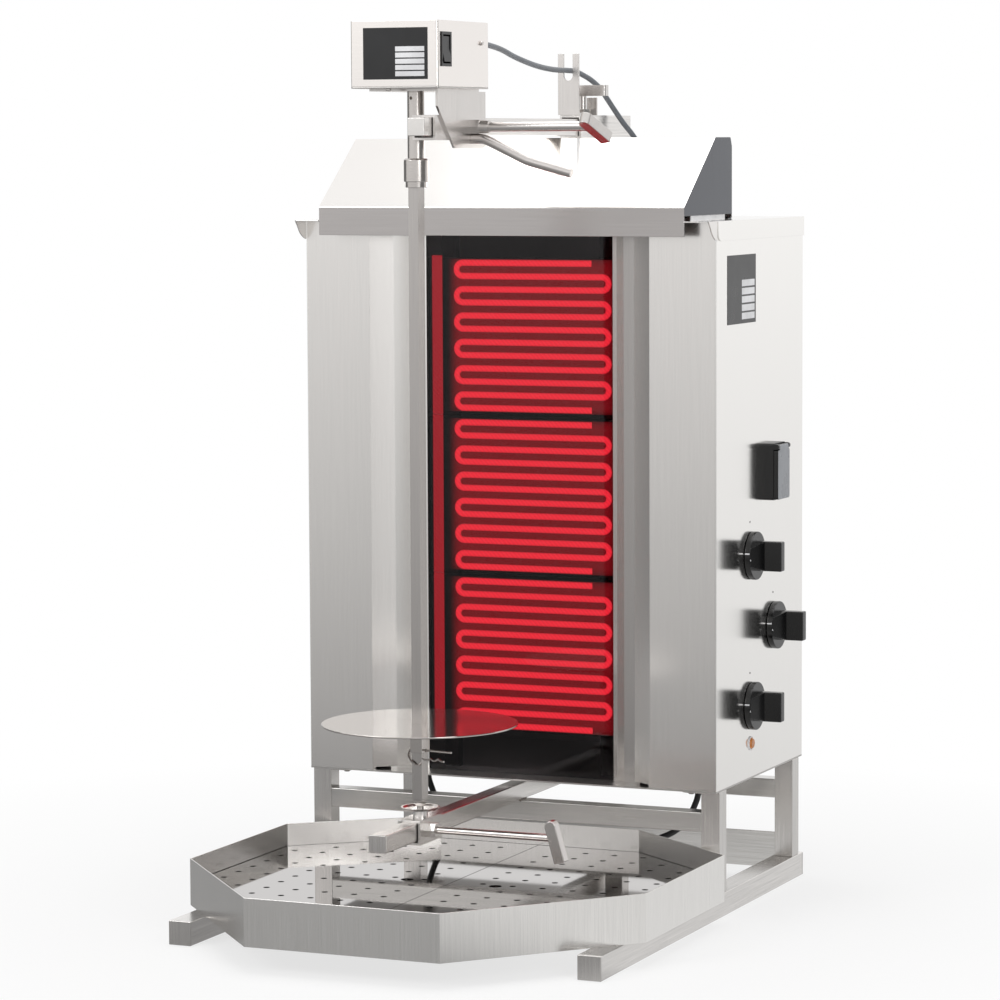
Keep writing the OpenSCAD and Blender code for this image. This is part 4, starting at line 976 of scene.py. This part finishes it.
@dataclass
class Cables:
    """The motor's cable and the one that links the housing's two halves."""

    motor_d: float = 7.0
    under_d: float = 8.0
    relief_d: tuple[float, float] = (11.0, 7.8)
    relief_l: float = 22.0
    motor_route: tuple[Triple, ...] = (
        (40, -183, 1096), (40, -160, 1096), (39, -130, 1094), (37, -95, 1090),
        (35, -60, 1084), (34, -20, 1078), (32, 25, 1073), (30, 70, 1070),
        (28, 110, 1069), (28, 137, 1069), (31, 155, 1068), (35, 175, 1063),
        (39, 195, 1056), (43, 213, 1046), (46, 228, 1034), (51, 244, 1018),
        (58, 258, 1001), (67, 271, 984), (75, 281, 964), (81, 287, 942),
        (84, 290, 922), (84, 290, 906), (84, 290, 892))
    under_route: tuple[Triple, ...] = (
        (-182, 150, 146), (-182, 150, 132), (-177, 150, 116), (-169, 150, 99),
        (-155, 150, 83), (-134, 150, 71), (-108, 150, 62), (-78, 150, 56),
        (-45, 150, 52), (-10, 150, 50), (25, 150, 50), (60, 150, 52),
        (94, 150, 56), (125, 150, 62), (152, 150, 71), (174, 150, 83),
        (189, 150, 99), (198, 150, 116), (203, 150, 132), (203, 150, 146))

    def cable(
        self, name: str, node: str, route: Sequence[Triple], d: float, finish: Finish
    ) -> Object:
        """Lays one cable along its route.

        Args:
            name: The piece's name.
            node: The CAD node that it replaces.
            route: The points that it follows, in the maker's drawing.
            d: Its diameter.
            finish: The sheath's finish.

        Returns:
            The cable.
        """
        cable = tube(name, route, d, 5)
        coat(cable, finish)
        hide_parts(node)
        return cable

    def build(self) -> None:
        """Makes both cables, and the strain relief at the motor's cover."""
        motor = self.cable("motor_cable_sheath", "motor_cable", self.motor_route,
                           self.motor_d, Finish.CABLE)
        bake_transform(motor)
        under = self.cable("under_cable_sheath", "under_cable", self.under_route,
                           self.under_d, Finish.RUBBER)
        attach(under, "stand")
        x, y, z = self.motor_route[0]
        relief = rod("motor_cable_relief", (x, y, z), (x, y + self.relief_l, z),
                     *self.relief_d)
        hand_over(relief, Finish.RUBBER, "cable_grommet")


# ---- Stand ----


@dataclass
class Stand:
    """Welded tube stand with its arm."""

    tube_edge: float = 1.6
    bar_edge: float = 1.4
    bead: float = 3.2
    mast: tuple[Triple, Triple] = ((16, 290, 981.5), (41, 315, 981.5))
    bar_x: float = 11.0
    crossbars: tuple[tuple[float, float], ...] = ((10.0, 30.0), (295.0, 315.0))
    bar_low: float = 133.0

    def beads(self) -> None:
        """Lays the weld beads of the mast's head and of the lower bar."""
        (x0, y0, z), (x1, y1, _) = self.mast
        around = ((x0, y0, z), (x1, y0, z), (x1, y1, z), (x0, y1, z))
        bead = weld("mast_head_weld", around, self.bead, closed=True)
        hand_over(bead, Finish.WELD, "mast")
        parts = [
            weld("bar_bead", ((side * self.bar_x, y0, self.bar_low),
                              (side * self.bar_x, y1, self.bar_low)), self.bead)
            for side in (-1, 1) for y0, y1 in self.crossbars]
        hand_over(joined("lower_bar_welds", parts), Finish.WELD, "lower_bar")

    def build(self) -> None:
        """Dresses the stand's tubes."""
        for node in ("rail_left", "rail_right", "lower_bar"):
            eased(node, Finish.TUBE_DEEP, self.tube_edge, 3)
        for node in ("uprights", "mast"):
            eased(node, Finish.TUBE_UPRIGHT, self.tube_edge, 3)
        eased("crossbars", Finish.TUBE_ACROSS, self.tube_edge, 3)
        eased("end_caps", Finish.TUBE_UPRIGHT, 0.8)
        eased("rear_plate", Finish.TUBE_ACROSS, 0.6)
        eased("tab_screws", Finish.ROD, 0.3)
        eased("arm_socket", Finish.TUBE_DEEP, 1.0)
        eased("arm_bar", Finish.TUBE_DEEP, self.bar_edge, 3)
        eased("cable_fork", Finish.PLATE, 0.8)
        eased("head_clamp", Finish.PLATE, 1.0, 3)
        self.beads()


# ---- Housing ----


# A rating plate's sheets: thickness, rounding, and how far its face and fields stand out
PLATE_THICK, PLATE_EDGE, FACE_OUT, FIELD_OUT = 0.3, 0.05, 0.4, 0.55
# Its blank fields: how many, their sides, the lowest's edges and their spacing, as shares
FIELD_COUNT, FIELD_SIDES, FIELD_EDGES, FIELD_PITCH = 5, (0.5, 0.95), (0.06, 0.155), 0.12


def blank_plate(
    name: str, like: str, place: Callable[[float, float, float], Triple],
    width: float, height: float,
) -> None:
    """Puts up an enamelled rating plate whose fields are left blank.

    Args:
        name: The plate's name.
        like: The CAD node that it is fixed on.
        place: Turns a reach to the right, a height and a depth outwards on the plate
            into the drawing.
        width: The plate's width.
        height: Its height.
    """
    (left, right), (low, high) = FIELD_SIDES, FIELD_EDGES
    steps = [FIELD_PITCH * row for row in range(FIELD_COUNT)]
    fields = [(left, low + step, right, high + step) for step in steps]
    for part, sheets, out, finish in (
        (name, [(0, 0, 1, 1)], FACE_OUT, Finish.ENAMEL),
        (name + "_fields", fields, FIELD_OUT, Finish.WHITE),
    ):
        pieces = [plate(part, [place(u * width, v * height, out) for u, v in (
            (u0, v0), (u1, v0), (u1, v1), (u0, v1))], PLATE_THICK, PLATE_EDGE)
            for u0, v0, u1, v1 in sheets]
        hand_over(joined(part, pieces), finish, like)


@dataclass
class Heaters:
    """Three zones of corrugated ribbon on fibre boards, behind the glass."""

    zones: tuple[tuple[str, float], ...] = (("bottom", 317), ("middle", 523), ("top", 729))
    rows: int = 12
    pitch: float = 17.0
    width: float = 9.0
    thick: float = 1.6
    middle_y: float = 45.2
    left: float = -81.0
    right: float = 113.0
    stub: float = 98.0
    strip: tuple[float, float] = (-124.0, -110.0)
    strip_half: float = 102.75
    strip_heat: float = 0.33
    turn_steps: int = 10

    def route(self, z: float) -> list[Triple]:
        """Lists the ribbon's middle line, row by row, round its hairpins."""
        points = [(self.stub, self.middle_y, z - (self.rows - 1) * self.pitch / 2)]
        for row in range(self.rows - 1):
            side = -1 if row % 2 == 0 else 1
            x = self.left if side < 0 else self.right
            middle = z + (row + 0.5 - (self.rows - 1) / 2) * self.pitch
            for step in range(self.turn_steps + 1):
                turn = math.pi * (step / self.turn_steps - 0.5)
                points.append((x + side * self.pitch / 2 * math.cos(turn), self.middle_y,
                               middle + self.pitch / 2 * math.sin(turn)))
        points.append((self.stub, self.middle_y, points[-1][2]))
        return points

    def coil(self, zone: str, z: float) -> None:
        """Bends one zone's ribbon, and keeps how hot it is in an attribute."""
        node = "heater_coil_" + zone
        ribbon = tube(node + "_ribbon", self.route(z), self.width, 3, smooth=False)
        with editing(ribbon, "VERT"):
            bpy.ops.transform.resize(
                value=(1, self.thick / self.width, 1), center_override=at(0, self.middle_y, z))
        low, high = self.strip
        strip = block("strip", (low, self.middle_y - self.thick / 2, z - self.strip_half),
                      (high, self.middle_y + self.thick / 2, z + self.strip_half), 0.3)
        coil = joined(node + "_ribbon", [ribbon, strip])
        heat = coil.data.attributes.new("glow_share", "FLOAT", "POINT")
        edge = at(high + 1, 0, 0).x
        middle, half = at(0, self.middle_y, 0).y, self.thick / 2000
        for corner in coil.data.vertices:
            raised = min(1.0, max(0.0, (middle - corner.co.y) / half))
            heat.data[corner.index].value = (
                self.strip_heat if corner.co.x < edge else raised ** 0.8)
        hand_over(coil, Finish.RIBBON, node)
        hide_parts(node)

    def build(self) -> None:
        """Dresses the heaters and their glass."""
        for zone, z in self.zones:
            self.coil(zone, z)
        paint("heater_rails", Finish.BURNT)
        paint("heater_pans", Finish.BURNT)
        paint("insulation_boards", Finish.BOARD)
        paint("glass_panel", Finish.GLASS)


@dataclass
class Knobs:
    """Three control knobs, each a disc with a ramped nose and a flat grip."""

    places: tuple[tuple[str, float, float], ...] = (
        ("bottom", 133, 254), ("middle", 218, 349), ("top", 133, 448))
    dots: tuple[tuple[float, float], ...] = ((125.4, 297.2), (213.9, 392.2), (124.9, 491.9))
    back: float = 283.5
    face: float = 291.0
    end: float = 325.0
    d: float = 62.0
    grip: tuple[float, float] = (14.0, 38.0)
    # How deep grip and nose are sunk into the disc
    sunk: float = 1.0
    # The nose at the rim and at the grip: half its height, its reach to the left, its rise
    nose_rim: Triple = (12, 29, 0.4)
    nose_grip: Triple = (19, 6, 12.0)
    # The pointer's bar on the rim, from corner to corner, and the places of its dot's ends
    bar: tuple[Triple, Triple] = ((0.8, -0.3, 4.2), (-0.6, 1.2, 5.8))
    dot: tuple[Triple, Triple] = ((-0.2, -28, -3.5), (0.6, -28, -3.5))
    dot_d: float = 2.8
    index_x: tuple[float, float] = (282.9, 283.25)
    index_d: float = 2.6

    def nose(self, name: str, y: float, z: float) -> Object:
        """Makes the ramp that rises from the disc's left rim to the grip."""
        bpy.ops.mesh.primitive_cube_add(size=2.0)
        nose = bpy.context.object
        nose.name = name
        for corner in nose.data.vertices:
            half, reach, rise = self.nose_rim if corner.co.y < 0 else self.nose_grip
            x = self.face + (rise if corner.co.x > 0 else -self.sunk)
            corner.co = at(x, y - reach, z + math.copysign(half, corner.co.z))
        round_edges(nose, 0.8)
        return settle(nose)

    def knob(self, name: str, y: float, z: float) -> None:
        """Makes one knob in place of its CAD node, with its pointer mark."""
        node = "knob_" + name
        wide, high = self.grip
        disc = rod(node + "_disc", (self.back, y, z), (self.face, y, z), self.d, mm=1.2,
                   sides=96)
        grip = block(node + "_grip", (self.face - self.sunk, y - wide / 2, z - high / 2),
                     (self.end, y + wide / 2, z + high / 2), 1.6)
        nose = self.nose(node + "_nose", y, z)
        body = joined(node + "_turned", [disc, grip, nose])
        hand_over(body, Finish.KNOB, node)
        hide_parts(node)
        rim = y - self.d / 2
        (x0, y0, z0), (x1, y1, z1) = self.bar
        bar = block(node + "_bar", (self.back + x0, rim + y0, z + z0),
                    (self.face + x1, rim + y1, z + z1), 0.2)
        ends = [(self.face + dx, y + dy, z + dz) for dx, dy, dz in self.dot]
        dot = rod(node + "_dot", *ends, self.dot_d, mm=0.1)
        hand_over(joined(node + "_pointer", [bar, dot]), Finish.WHITE, node)

    def build(self) -> None:
        """Makes the knobs and the panel's three index dots."""
        for name, y, z in self.places:
            self.knob(name, y, z)
        low, high = self.index_x
        dots = [rod("dot", (low, y, z), (high, y, z), self.index_d, mm=0.05)
                for y, z in self.dots]
        hand_over(joined("panel_dots", dots), Finish.ENAMEL, "side_panel_right")


@dataclass
class Housing:
    """Sheet housing with its lid, hood and electrics."""

    sheet_edge: float = 0.35
    side_x: float = 283.0
    skirt_x: float = 284.5
    hood_x: float = 251.0
    lid_z: float = 878.0
    bezel: float = 1.6
    sheet: float = 1.5
    brim_gap: float = 0.2
    brim_front: float = -30.5
    plate_at: tuple[float, float] = (40, 747)
    plate_size: tuple[float, float] = (105, 87)
    brim: tuple[tuple[float, float], ...] = (
        (0, 853), (0, 878), (-30.5, 878), (-30.5, 877), (-29, 875), (-25.5, 871.5),
        (-22.5, 867.5), (-20, 864), (-16.5, 860.5), (-12, 857.5), (-7, 855), (-3, 853.6))

    def lid_front(self) -> None:
        """Makes the lid's brim at both sides of the hood, with its rounded skirt ends."""
        parts = []
        for side in (-1, 1):
            outline = [(side * self.skirt_x, y, z) for y, z in self.brim]
            if side < 0:
                outline.reverse()
            parts.append(plate("skirt_end", outline, self.sheet, 0.2))
            low, high = sorted((side * (self.hood_x + self.brim_gap), side * self.side_x))
            parts.append(block("brim", (low, self.brim_front, self.lid_z - self.sheet),
                               (high, 0, self.lid_z), 0.3))
        brim = joined("lid_brim", parts)
        hand_over(brim, Finish.WING, "lid")
        # The brim's underside is painted white: painted light where shade falls under the brim.
        refinish(brim, Finish.WHITE, lambda f: f.normal.z < -0.9)

    def hood(self) -> None:
        """Gives the hood its grey band, painted light on its upward slope and painted shade on
        its ends.
        """
        hood = eased("hood", Finish.BAND, self.sheet_edge)
        # The slope's upward faces get painted light.
        refinish(hood, Finish.SLOPE, lambda f: f.normal.z > 0.25)
        # The end walls get painted shade.
        refinish(hood, Finish.HOOD_END, lambda f: abs(f.normal.x) > 0.9)

    def lamp(self) -> None:
        """Dresses the signal lamp, with painted light on its bezel: white in place of its
        bright metal.
        """
        lamp = copy_of("indicator_lamp", "indicator_lamp_lens")
        settle(lamp)
        hand_over(lamp, Finish.LAMP, "indicator_lamp")
        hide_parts("indicator_lamp")
        rim = at(self.side_x + self.bezel, 0, 0).x
        # The bezel is painted white: a painted reflection.
        refinish(lamp, Finish.WHITE, lambda f: f.center.x < rim)

    def build(self) -> None:
        """Dresses the housing."""
        for node in ("side_panel_left", "side_panel_right"):
            eased(node, Finish.PANEL, self.sheet_edge)
        for node in ("wing_left", "wing_right"):
            eased(node, Finish.WING, self.sheet_edge)
        # The two flanks are one steel, painted lighter on the left and painted shade on the
        # right.
        eased("flank_left", Finish.PANEL, self.sheet_edge)
        eased("flank_right", Finish.FLANK, self.sheet_edge)
        for node in ("base_pan", "rear_panel"):
            paint(node, Finish.SHEET)
        lid = eased("lid", Finish.PANEL, self.sheet_edge)
        # The spacers on top of the lid are painted white: painted light on their steel.
        painted_light_above = (self.lid_z + 0.6) / 1000
        refinish(lid, Finish.WHITE, lambda f: f.center.z > painted_light_above)
        self.lid_front()
        self.hood()
        Heaters().build()
        paint("energy_regulators", Finish.PLASTIC)
        paint("terminal_block", Finish.CERAMIC)
        self.lamp()
        eased("socket_base", Finish.PLASTIC, 0.6)
        flap = eased("socket_flap", Finish.PLASTIC, 1.0, 3)
        # The flap's outer face is painted grey: a painted reflection on its black nylon.
        refinish(flap, Finish.FLAP, lambda f: f.normal.x > 0.5)
        paint("cable_glands", Finish.PLASTIC)
        Knobs().build()
        y, z = self.plate_at
        blank_plate("rating_plate_side", "side_panel_right",
                    lambda u, v, out: (self.side_x + out, y + u, z + v), *self.plate_size)


# ---- Carriage ----


@dataclass
class Carriage:
    """Motor carriage on the arm, with its clamp and handle."""

    handle_d: float = 12.0
    handle_route: tuple[Triple, ...] = (
        (46.5, -213, 981), (52, -213, 981), (58, -213, 981), (62.4, -213, 980.5),
        (66.5, -213, 979.1), (90, -213, 968.2), (114, -213, 957), (118.7, -213, 955),
        (123.5, -213, 953.5), (150, -213, 946.4), (176.7, -213, 939.3))
    cover_front: float = -341.0
    cover_screw: Triple = (59.0, -214, 1096)
    base_screw: Triple = (-8, -335, 1041)
    plate_at: tuple[float, float] = (-38, 1051.5)
    plate_size: tuple[float, float] = (84, 61)

    def handle(self) -> None:
        """Bends the pull handle from round bar with a domed end."""
        handle = tube("pull_handle_bar", self.handle_route, self.handle_d, 6)
        round_edges(handle, 4.0, 4, 60)
        settle(handle, 50)
        hand_over(handle, Finish.ROD, "pull_handle")
        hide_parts("pull_handle")

    def build(self) -> None:
        """Dresses the carriage."""
        eased("carriage_frame", Finish.PLATE, 0.6)
        self.handle()
        eased("motor_base", Finish.SHEET, 0.4)
        paint("gear_motor", Finish.MOTOR)
        eased("motor_cover", Finish.COVER, 0.5)
        paint("cable_grommet", Finish.RUBBER)
        eased("rocker_frame", Finish.PLASTIC, 0.4)
        eased("rocker", Finish.PLASTIC, 0.3)
        eased("upper_clamp", Finish.PLATE, 1.0, 3)
        side = screw("cover_screw", self.cover_screw, (1, 0, 0), 6)
        hand_over(side, Finish.ROD, "motor_cover")
        foot = screw("base_screw", self.base_screw, (0, 0, -1), 7)
        hand_over(foot, Finish.ROD, "motor_base")
        x, z = self.plate_at
        blank_plate("rating_plate_motor", "motor_cover",
                    lambda u, v, out: (x + u, self.cover_front - out, z + v),
                    *self.plate_size)


# ---- Spit ----


@dataclass
class Spit:
    """Drive shaft, coupling, square spit and the plate that the meat stands on."""

    def build(self) -> None:
        """Dresses the spit."""
        eased("drive_shaft", Finish.TURNED, 0.4)
        eased("coupling", Finish.TURNED, 0.5)
        eased("spit", Finish.SPIT, 0.6)
        eased("meat_plate", Finish.DISC, 0.5)
        paint("spring_clip", Finish.ROD)
        eased("lower_slider", Finish.TUBE_DEEP, 0.8)
        eased("lower_clamp", Finish.ROD, 1.0, 3)


# ---- Tray ----


@dataclass
class Tray:
    """Eight-sided fat tray with its two polished inserts."""

    def build(self) -> None:
        """Dresses the tray."""
        eased("fat_tray", Finish.TRAY, 0.4)
        for node in ("insert_left", "insert_right"):
            eased(node, Finish.MIRROR, 0.3)


def main() -> None:
    """Builds the studio and every sub-assembly in order."""
    logging.basicConfig(level=logging.INFO, format="%(message)s")
    deselect_all()
    Studio().build()
    Cables().build()
    for part in (Stand(), Housing(), Carriage(), Spit(), Tray()):
        part.build()
        log.info("%s is built", type(part).__name__)


if __name__ == "__main__":
    main()
